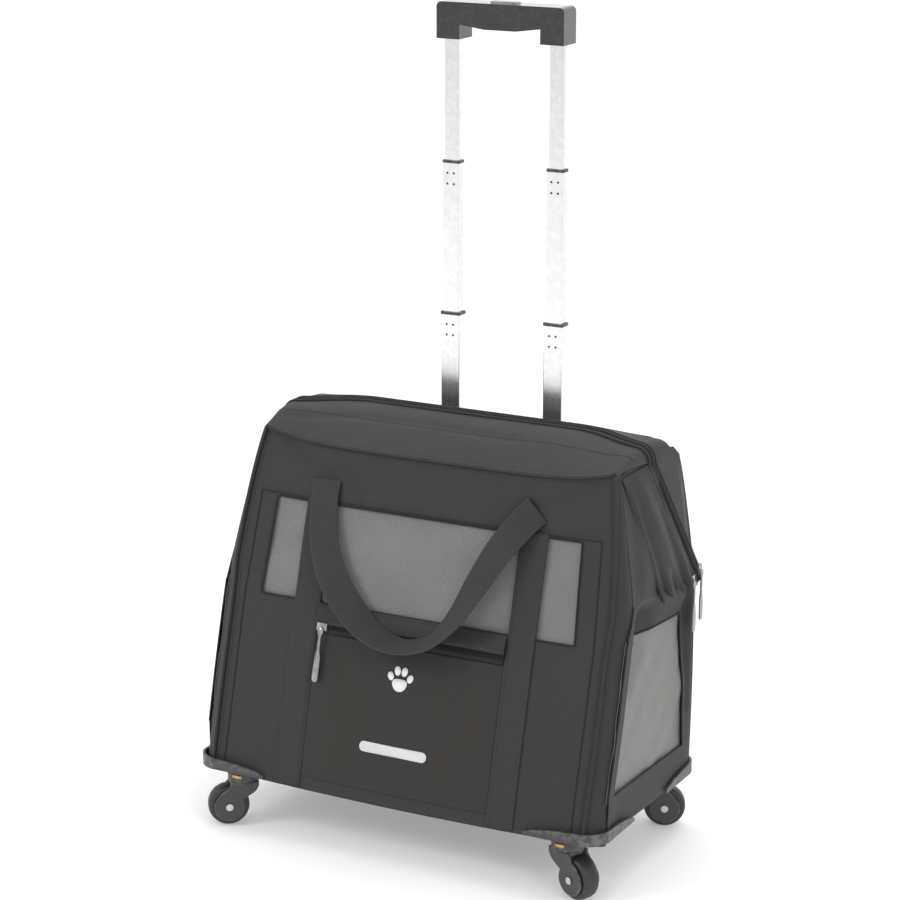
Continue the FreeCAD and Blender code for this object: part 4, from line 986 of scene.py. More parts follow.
@dataclass
class FrontWall:
    """The leaning front wall: cloth, windows, bands, pocket and trim, all on the body front_wall."""

    form: BagForm
    finish: Wardrobe
    body: str = "front_wall"
    band: tuple = (115.0, 145.0)
    window: tuple = (202.0, 311.0)
    side_window: tuple = (190.0, 184.0)
    pocket: tuple = (14.0, 198.0)
    zip_level: float = 177.0
    seam: float = 314.0
    wall: float = 1.2
    pieces: list = field(default_factory=list)

    def keep(self, piece: bpy.types.Object, slot: str) -> bpy.types.Object:
        """Puts a piece on the wall's body and adds it to the wall's pieces."""
        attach(piece, self.body)
        self.pieces.append(piece)
        return piece

    def build(self) -> None:
        """Makes every piece of the wall."""
        self.skin()
        self.mesh()
        self.bands()
        self.pocket_panel()
        self.pocket_zip()
        self.trim()
        self.label()
        log.info("front wall: %d pieces", len(self.pieces))

    def columns(self, s: Array) -> tuple[Array, Array]:
        """The grid's places across at each height, with a column on each window edge.

        Args:
            s: the heights.

        Returns:
            The places across, one row for each height, and the number of columns up to each edge.
        """
        edge = self.form.width_at(self.form.floor + s * math.cos(self.form.lean)) - self.form.radius_at(s)
        share = (s - self.window[0]) / (self.window[1] - self.window[0])
        side = self.side_window[0] + (self.side_window[1] - self.side_window[0]) * share
        side = np.minimum(side, edge - 8)
        inner, outer = np.full_like(s, self.band[0]), np.full_like(s, self.band[1])
        breaks = np.stack([-edge, -side, -outer, -inner, inner, outer, side, edge], axis=1)
        counts = [6, 10, 8, 52, 8, 10, 6]
        parts = []
        for k, count in enumerate(counts):
            share = np.linspace(0, 1, count, endpoint=False)
            parts.append(breaks[:, k : k + 1] + (breaks[:, k + 1] - breaks[:, k])[:, None] * share)
        parts.append(breaks[:, -1:])
        return np.concatenate(parts, axis=1), np.cumsum([0] + counts)

    def heights(self) -> Array:
        """The grid's places up the wall, with a row on each window edge."""
        low, high = self.window
        parts = [np.linspace(0, low, 60, endpoint=False), np.linspace(low, high, 34, endpoint=False)]
        return np.concatenate(parts + [np.linspace(high, self.form.height, 26)])

    def skin(self) -> None:
        """The cloth of the wall with its rounded corners and its three openings."""
        form = self.form
        s = self.heights()
        x, edges = self.columns(s)
        turn = np.linspace(0, np.pi / 2, 9)[1:]
        left = form.front_edge(s[:, None], turn[::-1][None], LEFT)
        right = form.front_edge(s[:, None], turn[None], RIGHT)
        points = np.concatenate([left, form.front_point(x, s[:, None]), right], axis=1)
        arc = form.radius_at(s)[:, None] * turn[None]
        u = np.concatenate([x[:, :1] - arc[:, ::-1], x, x[:, -1:] + arc], axis=1)
        uv = np.stack(np.broadcast_arrays(u, s[:, None]), axis=-1) * MM
        keep = np.ones((len(s) - 1, u.shape[1] - 1), bool)
        middle = (s[:-1] + s[1:]) / 2
        rows = (middle > self.window[0]) & (middle < self.window[1])
        for a, b in ((1, 2), (3, 4), (5, 6)):
            cols = np.arange(edges[a], edges[b]) + len(turn)
            keep[np.ix_(rows, cols)] = False
        piece = put_grid("front_skin", points, self.finish["shell"], (0, 0, 200), uv, keep)
        self.keep(thicken(piece, self.wall), "shell_fabric")
        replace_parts(piece, "front_panel")
        self.hem(edges)

    def hem(self, edges: Array) -> None:
        """The folded edge round each opening, as a thin cord."""
        low, high = self.window
        s = np.linspace(low, high, 30)
        x, _ = self.columns(s)
        for number, (a, b) in enumerate(((1, 2), (3, 4), (5, 6))):
            first, last = x[:, edges[a]], x[:, edges[b]]
            across = np.linspace(0, 1, 30)
            loop = np.concatenate([
                np.stack([first, s], 1),
                np.stack([first[-1] + (last[-1] - first[-1]) * across[1:], np.full(29, high)], 1),
                np.stack([last[::-1], s[::-1]], 1)[1:],
                np.stack([last[0] + (first[0] - last[0]) * across[1:-1], np.full(28, low)], 1),
            ])
            line = self.form.front_point(loop[:, 0], loop[:, 1], 0.1)
            self.keep(self.loop_cord(f"window_hem_{number}", line, 0.9, "tape"), "shell_fabric")

    def loop_cord(self, name: str, line: Array, radius: float, finish: str) -> bpy.types.Object:
        """A thin cord round a closed line."""
        along = unit(np.roll(line, -1, axis=0) - np.roll(line, 1, axis=0))
        side = unit(np.cross(along, self.form.normal))
        turn = np.linspace(0, 2 * np.pi, 6, endpoint=False)
        ring = side[:, None] * np.cos(turn)[None, :, None] + self.form.normal * np.sin(turn)[None, :, None]
        count = len(line)
        faces = grid_faces(count + 1, 6, closed=True) % (count * 6)
        return put_mesh(name, line[:, None] + radius * ring, faces, self.finish[finish])

    def mesh(self) -> None:
        """The net behind the openings: one stretched sheet."""
        s = np.linspace(self.window[0] - 6, self.window[1] + 6, 46)
        x = np.linspace(-self.side_window[0] - 6, self.side_window[0] + 6, 130)
        wave = 0.9 * ripple(x[None, :], s[:, None], 60, 5)
        points = self.form.front_point(x[None, :], s[:, None], wave - 2.6)
        uv = np.stack(np.broadcast_arrays(x[None, :], s[:, None]), axis=-1) * MM
        piece = put_grid("front_window_mesh", points, self.finish["mesh"], (0, 0, 200), uv)
        self.keep(thicken(piece, 0.5), "mesh")
        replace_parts(piece, "front_mesh")
        flat = ((x[-1] - x[0]) * MM, (s[-1] - s[0]) * MM)

    def bands(self) -> None:
        """The two webbing bands that run up the wall between the windows."""
        middle = (self.band[0] + self.band[1]) / 2
        width = self.band[1] - self.band[0]
        pieces = []
        for side in (LEFT, RIGHT):
            s = np.linspace(2, self.window[1] + 4, 90)
            path = self.form.front_point(side * middle, s, 1.0)
            across = np.broadcast_to([1.0, 0, 0], path.shape)
            out = np.broadcast_to(self.form.normal, path.shape)
            piece = ribbon(
                f"band_{SIDE_NAMES[side]}", path, across, out, width + 2, 1.9, self.finish["shell"]
            )
            pieces.append(self.keep(piece, "webbing"))
            for edge in (LEFT, RIGHT):
                line = self.form.front_point(side * middle + edge * (width / 2 - 2.5), s, 2.0)
                name = f"band_stitch_{SIDE_NAMES[side]}_{SIDE_NAMES[edge]}"
                self.keep(stitches(name, line, self.form.normal, self.finish["thread"]), "shell_fabric")
        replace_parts(pieces[0], "front_bands")

    def pocket_panel(self) -> None:
        """The flat pocket between the bands: a sheet that stands a little proud and sags at its mouth."""
        low, high = self.pocket[0], self.zip_level - 7
        x = np.linspace(-self.band[0] + 0.5, self.band[0] - 0.5, 96)
        s = np.linspace(low, high, 80)
        share = (s[:, None] - low) / (high - low)
        inner = 1 - (np.abs(x[None, :]) / self.band[0]) ** 6
        puff = inner * (1.0 + 2.6 * np.sin(np.pi * share) ** 0.7)
        crease = 1.5 * groove(x[None, :], s[:, None], [(-100, 168), (-70, 130), (-66, 90)], 10)
        lift = 0.6 + puff + 0.7 * ripple(x[None, :], s[:, None], 90, 8) * inner - crease
        points = self.form.front_point(x[None, :], s[:, None], lift)
        uv = np.stack(np.broadcast_arrays(x[None, :], s[:, None]), axis=-1) * MM
        piece = put_grid("pocket_panel", points, self.finish["pocket"], (0, 0, 200), uv)
        self.keep(thicken(piece, 0.8), "shell_fabric")
        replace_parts(piece, "front_pocket")
        2 * self.band[0] * MM
        (high - low) * MM
        self.storm_flap()

    def storm_flap(self) -> None:
        """The strip of cloth that hangs over the pocket's zip, folded along its top."""
        x = np.linspace(-self.band[0] + 1, self.band[0] - 1, 110)
        drop = np.linspace(0, 1, 14)[:, None]
        s = self.pocket[1] + 4 - 21 * drop
        bow = 1.6 * np.sin(np.pi * (x[None, :] + 20) / 130) * drop
        curl = 2.2 + 3.4 * np.sin(np.pi * np.clip(drop, 0, 1) * 0.62) + bow
        points = self.form.front_point(x[None, :], s + 0.8 * bow, curl)
        piece = put_grid("pocket_storm_flap", points, self.finish["shell"], (0, 0, 200))
        self.keep(thicken(piece, 0.9), "shell_fabric")
        2 * self.band[0] * MM
        for number, level in enumerate((self.pocket[1] + 1.5, self.pocket[1] - 13)):
            lift = 3.6 if number == 0 else 6.2
            line = self.form.front_point(x, level, lift)
            name = f"storm_flap_stitch_{number}"
            self.keep(stitches(name, line, self.form.normal, self.finish["thread"]), "shell_fabric")

    def pocket_zip(self) -> None:
        """The pocket's zip: its tape and a row of small teeth under the flap."""
        x = np.linspace(-self.band[0] + 2, self.band[0] - 2, 60)
        path = self.form.front_point(x, self.zip_level, 2.2)
        across = np.broadcast_to(self.form.up, path.shape)
        out = np.broadcast_to(self.form.normal, path.shape)
        tape = ribbon("pocket_zip_tape", path, across, out, 13, 0.9, self.finish["tape"])
        self.keep(tape, "shell_fabric")
        line = path + 0.7 * self.form.normal
        teeth = zip_teeth("pocket_zip_teeth", line, across, out, 0, self.finish["tape"])
        self.keep(teeth, "zip_metal")

    def trim(self) -> None:
        """The piping round the wall, the seam over the windows and the seams beside them."""
        form = self.form
        s = np.linspace(2, form.height - 2, 110)
        for side in (LEFT, RIGHT):
            edge = form.front_edge(s, 0.25, side) + 1.4 * form.normal
            name = f"piping_{SIDE_NAMES[side]}"
            self.keep(tube(name, edge, 2.3, self.finish["piping"], out=(0, -1, 0)), "shell_fabric")
            flange = form.front_point(side * (np.abs(edge[:, 0]) - 6), s, 0.7)
            row = stitches(f"piping_stitch_{SIDE_NAMES[side]}", flange, form.normal, self.finish["thread"])
            self.keep(row, "shell_fabric")
            across = side * np.interp(s, [0, 200, 311], [212, 212, 206])
            seam = form.front_point(across, s, 0.15)[s < self.seam]
            name = f"outer_seam_{SIDE_NAMES[side]}"
            self.keep(tube(name, seam, 0.8, self.finish["tape"], 6, (0, -1, 0)), "shell_fabric")
        x = np.linspace(-form.piping_half + 4, form.piping_half - 4, 120)
        top = form.front_point(x, form.height, 1.2)
        self.keep(tube("piping_top", top, 2.3, self.finish["piping"], out=(0, -1, 0)), "shell_fabric")
        line = form.front_point(x, form.height - 7, 0.5)
        row = stitches("piping_top_stitch", line, form.normal, self.finish["thread"])
        self.keep(row, "shell_fabric")
        x = np.linspace(-206, 206, 120)
        self.keep(tube("window_seam", form.front_point(x, self.seam, 0.2), 0.8, self.finish["tape"], 6,
                       (0, -1, 0)), "shell_fabric")
        row = stitches("window_seam_stitch", form.front_point(x, self.seam + 4, 0.5), form.normal,
                       self.finish["thread"])
        self.keep(row, "shell_fabric")

    def label(self) -> None:
        """The reflective bar and a plain white paw print above it."""
        form = self.form
        turn = np.linspace(0, 2 * np.pi, 64, endpoint=False)
        wide = 35.5 * np.clip(np.cos(turn) * 8, -1, 1) + 5.5 * np.cos(turn)
        bar = form.front_point(-3 + wide, 59 + 5.5 * np.sin(turn), 0)
        lift = self.lift_of_pocket(-3, 59)
        rings = np.stack([bar + (lift + h) * form.normal for h in (-1.0, 0.9, 1.2)])
        rings[2] = rings[2] + (rings[2].mean(0) - rings[2]) * 0.02
        self.keep(loft("reflective_bar", rings, self.finish["reflector"]), "shell_fabric")
        for number, (x, s, a, b, tilt) in enumerate(
            ((-4, 131, 8.6, 6.8, 0), (-15.5, 138, 3.4, 4.6, 22), (-8, 144.5, 3.5, 5.0, 8),
             (0.5, 144.5, 3.5, 5.0, -8), (8, 138, 3.4, 4.6, -22))
        ):
            angle = math.radians(tilt)
            pad = a * np.cos(turn) * (1 - 0.16 * np.sin(turn) * (number == 0))
            tall = b * np.sin(turn) + (1.6 * np.cos(2 * turn) if number == 0 else 0)
            dx = pad * math.cos(angle) - tall * math.sin(angle)
            ds = pad * math.sin(angle) + tall * math.cos(angle)
            outline = form.front_point(x + dx, s + ds, 0)
            lift = self.lift_of_pocket(x, s)
            rings = np.stack([outline + (lift + h) * form.normal for h in (-1.0, 0.8)])
            name = "paw_pad" if number == 0 else f"paw_toe_{number}"
            self.keep(loft(name, rings, self.finish["white"]), "shell_fabric")

    def lift_of_pocket(self, x: float, s: float) -> float:
        """How far the pocket's cloth stands off the wall at a place."""
        low, high = self.pocket[0], self.zip_level - 7
        share = (s - low) / (high - low)
        inner = 1 - (abs(x) / self.band[0]) ** 6
        puff = inner * (1.0 + 2.6 * math.sin(math.pi * share) ** 0.7)
        return 0.6 + puff + 0.7 * float(ripple(np.array(x), np.array(s), 90, 8)) * inner


def zip_teeth(
    name: str, path: Array, across: Array, out: Array, half: int, material: bpy.types.Material,
    pitch: float = 2.6,
) -> bpy.types.Object:
    """A row of zip teeth: small blocks set along the path.

    Args:
        name: the object's name.
        path: the zip's middle line.
        across: the direction across the zip at each point.
        out: the direction away from the tape at each point.
        half: which side the teeth stand on, -1 or 1, or 0 for both together.
        material: their finish.
        pitch: the distance from one tooth to the next on one side.

    Returns:
        The new object.
    """
    rows = spaced(np.concatenate([path, across, out], axis=1), pitch / (2 if half == 0 else 1))
    line, side, up = rows[:, :3], unit(rows[:, 3:6]), unit(rows[:, 6:])
    along = tangents(line)
    if half == 0:
        hand = np.where(np.arange(len(line)) % 2 == 0, 1.0, -1.0)[:, None]
    else:
        hand = np.full((len(line), 1), float(half))
        line = line + along * (pitch / 4) * half
    centre = line + side * hand * 1.1
    corner = np.array([(a, b, c) for c in (-0.5, 0.9) for a, b in ((-1, -1), (1, -1), (1, 1), (-1, 1))])
    taper = np.where(corner[:, 2] > 0, 0.72, 1.0)
    points = (
        centre[:, None]
        + along[:, None] * (corner[:, 0] * 0.62 * taper)[None, :, None]
        + side[:, None] * (corner[:, 1] * 1.7 * taper)[None, :, None]
        + up[:, None] * corner[:, 2][None, :, None]
    )
    block = [[3, 2, 1, 0], [4, 5, 6, 7], [0, 1, 5, 4], [1, 2, 6, 5], [2, 3, 7, 6], [3, 0, 4, 7]]
    faces = [[k * 8 + v for v in f] for k in range(len(line)) for f in block]
    return put_mesh(name, points, faces, material, smooth=False)


@dataclass
class Ends:
    """The two ends: window cloth that folds in, mesh, and the cloth that hangs over from the top."""

    form: BagForm
    finish: Wardrobe
    wall: float = 1.2
    ear_lift: float = 4.0

    def build(self) -> None:
        """Makes both ends."""
        for side in (LEFT, RIGHT):
            self.wall_cloth(side)
            self.mesh(side)
            self.ear(side)
        log.info("ends: cloth, mesh and overhanging cloth")

    def follow(self, piece: bpy.types.Object) -> bpy.types.Object:
        """Bakes a piece's placement into its mesh."""
        start = self.form.front_point(0, 190, -150)
        end = self.form.front_point(0, 190, -30)
        tuple(start * MM)
        tuple(end * MM)
        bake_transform(piece)
        return piece

    def lattice(self) -> tuple[Array, Array, list, list]:
        """The places (y, z) that divide an end into patches, one patch being the window.

        Returns:
            The y of each node, the z of each node, and the points along each row and column of patches.
        """
        f = self.form
        tan = math.tan(f.lean)

        def edge(z: float) -> float:
            s = (z - f.floor) / math.cos(f.lean)
            radius = float(f.radius_at(np.array(s)))
            return f.front + (z - f.floor) * tan + radius / math.cos(f.lean)

        rear = f.back - 15
        y = np.array([
            [edge(67), -103, 0, 88, rear],
            [edge(110), -103, 0, 90, rear],
            [edge(264), -62, 15, 84, rear],
            [edge(304), -40, 40, 96, rear],
            [edge(380), -20, 52, 96, rear],
            [edge(432), 0, 52, 98, rear],
        ])
        z = np.array([
            [68, 68, 68, 68, 68],
            [112, 112, 109, 106, 106],
            [268, 266, 264, 260, 258],
            [306, 308, 306, 300, 298],
            [382, 382, 382, 380, 378],
            [434, 440, 447, 440, 429],
        ], float)
        return y, z, [14, 60, 18, 26, 18], [18, 50, 40, 12]

    def patchwork(self) -> tuple[Array, Array, Array]:
        """The grid of an end, and which faces lie in its window."""
        y, z, down, across = self.lattice()
        rows = [k + np.linspace(0, 1, n, endpoint=False) for k, n in enumerate(down)]
        rows = np.concatenate(rows + [[len(down)]])
        cols = np.concatenate(
            [k + np.linspace(0, 1, n, endpoint=False) for k, n in enumerate(across)] + [[len(across)]]
        )
        i = np.clip(rows.astype(int), 0, len(down) - 1)
        j = np.clip(cols.astype(int), 0, len(across) - 1)
        u, v = (rows - i)[:, None], (cols - j)[None, :]

        def blend(table: Array) -> Array:
            a, b = table[np.ix_(i, j)], table[np.ix_(i, j + 1)]
            c, d = table[np.ix_(i + 1, j)], table[np.ix_(i + 1, j + 1)]
            return (a * (1 - v) + b * v) * (1 - u) + (c * (1 - v) + d * v) * u

        inside_rows = (rows[:-1, None] >= 1) & (rows[:-1, None] < 2)
        window = inside_rows & (cols[None, :-1] >= 1) & (cols[None, :-1] < 3)
        return blend(y), blend(z), window

    def wall_cloth(self, side: int) -> None:
        """The cloth of an end, open at its window."""
        y, z, window = self.patchwork()
        points = self.form.end_point(side, y, z)
        uv = np.stack([y, z], axis=-1) * MM
        name = f"end_skin_{SIDE_NAMES[side]}"
        piece = put_grid(name, points, self.finish["shell"], (0, 0, 200), uv, ~window)
        thicken(piece, self.wall)
        self.follow(piece)
        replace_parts(piece, f"end_panel_{SIDE_NAMES[side]}")
        self.window_hem(side)

    def window_hem(self, side: int) -> None:
        """A pale thread line round the window."""
        y, z, _, _ = self.lattice()
        corners = [(y[1, 1], z[1, 1]), (y[1, 2], z[1, 2]), (y[1, 3], z[1, 3]), (y[2, 3], z[2, 3]),
                   (y[2, 2], z[2, 2]), (y[2, 1], z[2, 1]), (y[1, 1], z[1, 1])]
        parts = [np.linspace(a, b, 24, endpoint=False) for a, b in zip(corners[:-1], corners[1:])]
        loop = np.concatenate(parts + [np.array(corners[-1:])])
        line = self.form.end_point(side, loop[:, 0], loop[:, 1], 0.4)
        row = tube(f"end_window_hem_{SIDE_NAMES[side]}", line, 0.9, self.finish["tape"], 6, (side, 0, 0))
        self.follow(row)

    def mesh(self, side: int) -> None:
        """The net of an end window, just inside the cloth."""
        y, z, window = self.patchwork()
        _, _, down, across = self.lattice()
        rows = slice(down[0] - 2, down[0] + down[1] + 3)
        cols = slice(across[0] - 2, across[0] + across[1] + across[2] + 3)
        wave = 0.8 * ripple(y[rows, cols], z[rows, cols], 50, 21 + side)
        points = self.form.end_point(side, y[rows, cols], z[rows, cols], wave - 2.2)
        uv = np.stack([y[rows, cols], z[rows, cols]], axis=-1) * MM
        name = f"end_window_mesh_{SIDE_NAMES[side]}"
        piece = put_grid(name, points, self.finish["mesh"], (0, 0, 200), uv)
        thicken(piece, 0.5)
        self.follow(piece)
        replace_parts(piece, f"end_mesh_{SIDE_NAMES[side]}")
        f"end_skin_{SIDE_NAMES[side]}"

    def ear_grid(self) -> tuple[Array, Array, Array]:
        """The cloth that hangs over an end: y, z and stand-off, from its fold to the zip."""
        fold, seam = self.form.end_lines()
        first, last = spline(fold, 60), spline(seam, 60)
        t = np.linspace(0, 1, 44)[None, :]
        yz = first[:, None] * (1 - t[..., None]) + last[:, None] * t[..., None]
        y, z = yz[..., 0], yz[..., 1]
        r = np.linspace(0, 1, 60)[:, None]
        hang = np.sin(np.pi * r**0.8)
        lift = self.ear_lift * (0.35 + 0.65 * np.minimum(1, 6 * r)) * np.ones_like(t)
        lift = lift + 4.0 * hang * np.exp(-(((t - 0.42) / 0.2) ** 2))
        lift = lift - 4.5 * step(r, 0.25, 0.9) * np.exp(-(((t - 0.68) / 0.07) ** 2))
        lift = lift + 3.0 * step(r, 0.3, 1) * np.exp(-(((t - 0.82) / 0.07) ** 2))
        lift = lift - 2.5 * step(r, 0.1, 0.7) * np.exp(-(((t - 0.16) / 0.06) ** 2))
        lift = lift - 3.4 * np.exp(-((t / 0.05) ** 2)) * step(r, 0.02, 0.2)
        pinch = step(r, 0.72, 1.0) * (4.5 * np.sin(t * 26 + 0.6) + 1.5 * np.sin(t * 61))
        return y, z - 5 * pinch / 4.5 * step(r, 0.9, 1), lift + pinch * (1 - t) ** 0.3

    def ear(self, side: int) -> None:
        """The cloth that hangs over an end."""
        y, z, lift = self.ear_grid()
        points = self.form.end_point(side, y, z)
        flat = self.form.end_point(side, y, z)[..., 0] - side * self.form.end_depth(y, z)
        points[..., 0] = flat + side * lift
        name = f"end_fold_{SIDE_NAMES[side]}"
        piece = put_grid(name, points, self.finish["shell"], (0, 0, 300))
        thicken(piece, 1.0)
        self.swing(piece, "shell_fabric")
        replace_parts(piece, "end_ears")

    def swing(self, piece: bpy.types.Object, slot: str) -> bpy.types.Object:
        """Bakes a piece's placement into its mesh."""
        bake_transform(piece)
        return piece


@dataclass
class TopAndBack:
    """The front flap over the top, and the back wall that turns over into the back flap."""

    form: BagForm
    finish: Wardrobe
    back_corner: float = 15.0
    roll: float = 16.0

    def build(self) -> None:
        """Makes the flap, the back and the bottom."""
        self.flap()
        self.back_skin()
        self.bottom()
        log.info("top flap, back wall and bottom")

    def flap_point(self, x: Array, t: Array, lift: Array | float = 0.0) -> Array:
        """A point of the front flap: t runs from the piping to the zip.

        The height rises as a quarter sine wave. Past the ridge's straight part the flap turns down in
        an arc that grows from the piping to the zip.

        Args:
            x: the place across, measured over the turn at the ends.
            t: the place from front to back.
            lift: how far the point stands off the cloth.

        Returns:
            The points, with x, y and z in the last axis.
        """
        x, t, lift = np.broadcast_arrays(*(np.asarray(v, float) for v in (x, t, lift)))
        form = self.form
        radius = 5 + (self.roll - 5) * step(t, 0, 1)
        half = form.piping_half + (form.ridge_half - form.piping_half) * step(t, 0, 1)
        flat = half - radius
        over = np.clip((np.abs(x) - flat) / radius, 0, np.pi / 2)
        place = np.sign(x) * (np.minimum(np.abs(x), flat) + (radius + lift) * np.sin(over))
        inner = np.clip(np.abs(x), 0, form.piping_half)
        low = form.front_point(inner * np.sign(x), form.height, 1.0)
        high_y, high_z = form.zip_back(x), form.ridge_high - 3.5 * step(np.abs(x), 150, half[0].max())
        y = low[..., 1] + (high_y - low[..., 1]) * t
        z = low[..., 2] + (high_z - low[..., 2]) * np.sin(np.pi * t / 2) ** 0.9
        z = z + 1.0 * ripple(x, t * 90, 120, 31) * np.sin(np.pi * t)
        z = z - 1.6 * groove(x, t * 90, [(-200, 30), (-120, 46), (-30, 50), (70, 44)], 6) * np.sin(np.pi * t)
        z = z - radius * (1 - np.cos(over)) + lift * np.cos(over)
        return np.stack([place, y, z], axis=-1)

    def flap(self) -> None:
        """The front flap, its stitch line, and a bound edge along the zip."""
        form = self.form
        edge = form.ridge_half + self.roll * (np.pi / 2 - 1)
        t = np.linspace(0, 0.955, 40)
        radius = 5 + (self.roll - 5) * step(t, 0, 1)
        half = form.piping_half + (form.ridge_half - form.piping_half) * step(t, 0, 1)
        ends = half + radius * (np.pi / 2 - 1)
        x = np.linspace(-1, 1, 150)[None, :] * ends[:, None]
        # the flap's cloth is the shell cloth painted lighter, a painted top light
        piece = put_grid("top_flap_skin", self.flap_point(x, t[:, None]), self.finish["flap"], (0, 0, 200))
        thicken(piece, 1.2)
        self.ride(piece, "top_flap")
        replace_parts(piece, "front_flap")
        2 * edge * MM
        x = np.linspace(-edge + 14, edge - 14, 160)
        for name, place, lift in (("top_flap_stitch", 0.5, 0.35), ("top_flap_edge_stitch", 0.9, 0.35)):
            row = stitches(name, self.flap_point(x, place, lift), (0, 0, 1), self.finish["thread"])
            self.ride(row, "top_flap")

    def ride(self, piece: bpy.types.Object, body: str) -> bpy.types.Object:
        """Puts a piece on a body."""
        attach(piece, body)
        return piece

    def back_profile(self, count: int = 110) -> tuple[Array, Array]:
        """The line up the back wall and over the back flap, as (y, z), and the way it faces."""
        form = self.form
        points = [
            (form.back - 1, form.floor + 1), (form.back, 150), (form.back + 1.5, 260), (form.back + 1, 360),
            (form.back - 1, 412), (form.back - 5, 429), (form.back - 17, 440), (form.ridge_back + 34, 449),
            (form.ridge_back + 18, 454), (form.ridge_back + 5, form.ridge_high + 0.5),
        ]
        line = spline(points, count)
        along = tangents(line)
        return line, np.stack([along[:, 1], -along[:, 0]], axis=1)

    def back_skin(self) -> None:
        """The back wall and back flap as one sheet whose ends turn round the corners."""
        form = self.form
        line, facing = self.back_profile()
        radius = np.full(len(line), self.back_corner)
        base = form.width_at(line[:, 1], form.ridge_half)
        flat = (base - radius)[:, None]
        x = np.linspace(-1, 1, 90)[None, :] * flat
        turn = np.linspace(0, np.pi / 2, 9)[1:]
        edge_x = flat + radius[:, None] * np.sin(turn)[None, :]
        back = radius[:, None] * (1 - np.cos(turn))[None, :]
        xs = np.concatenate([-edge_x[:, ::-1], x, edge_x], axis=1)
        depth = np.concatenate([back[:, ::-1], np.zeros_like(x), back], axis=1)
        puff = 1.2 * ripple(xs, line[:, 1:2] + line[:, :1], 150, 41) * (np.abs(xs) < flat - 8)
        bend = np.where(line[:, 1:2] > form.back_high, form.zip_back(xs) - form.ridge_back, 0.0)
        share = step(form.back - line[:, :1], 5, form.back - form.ridge_back)
        y = line[:, :1] - (depth - puff) * facing[:, :1] + bend * share
        cap = form.back - 0.5 + 5 * step(np.abs(xs), 96, 135)
        y = np.where(line[:, 1:2] < form.back_high, np.minimum(y, cap), y)
        z = line[:, 1:2] - (depth - puff) * facing[:, 1:2] - 3.5 * step(np.abs(xs), 150, 222) * share
        piece = put_grid("back_skin", np.stack([xs, y, z], axis=-1), self.finish["shell"], (0, 0, 200))
        thicken(piece, 1.2)
        self.ride(piece, "bag")
        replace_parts(piece, "back_panel", "back_flap")

    def bottom(self) -> None:
        """The bottom cloth, which hangs a little below its board between the casters."""
        form = self.form
        x = np.linspace(-1, 1, 90)[None, :]
        y = np.linspace(-1, 1, 60)[:, None]
        wide, deep = form.half - 2, (form.back - form.front) / 2 - 2
        middle = (form.back + form.front) / 2
        radius = 20.0
        corner = np.clip(np.hypot(np.clip(np.abs(x) * wide - wide + radius, 0, None),
                                  np.clip(np.abs(y) * deep - deep + radius, 0, None)) / radius, 1, None)
        px = x * wide - np.sign(x) * np.clip(np.abs(x) * wide - wide + radius, 0, None) * (1 - 1 / corner)
        py = y * deep - np.sign(y) * np.clip(np.abs(y) * deep - deep + radius, 0, None) * (1 - 1 / corner)
        sag = 2.2 * (1 - x**4) * (1 - y**4) + 0.5 * ripple(px, py, 130, 51)
        points = np.stack(np.broadcast_arrays(px, py + middle, form.floor + 2 - sag), axis=-1)
        piece = put_grid("bottom_cloth", points, self.finish["shell"], (0, 0, 200))
        thicken(piece, 1.0)
        self.ride(piece, "bag")
        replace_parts(piece, "bottom_cover")


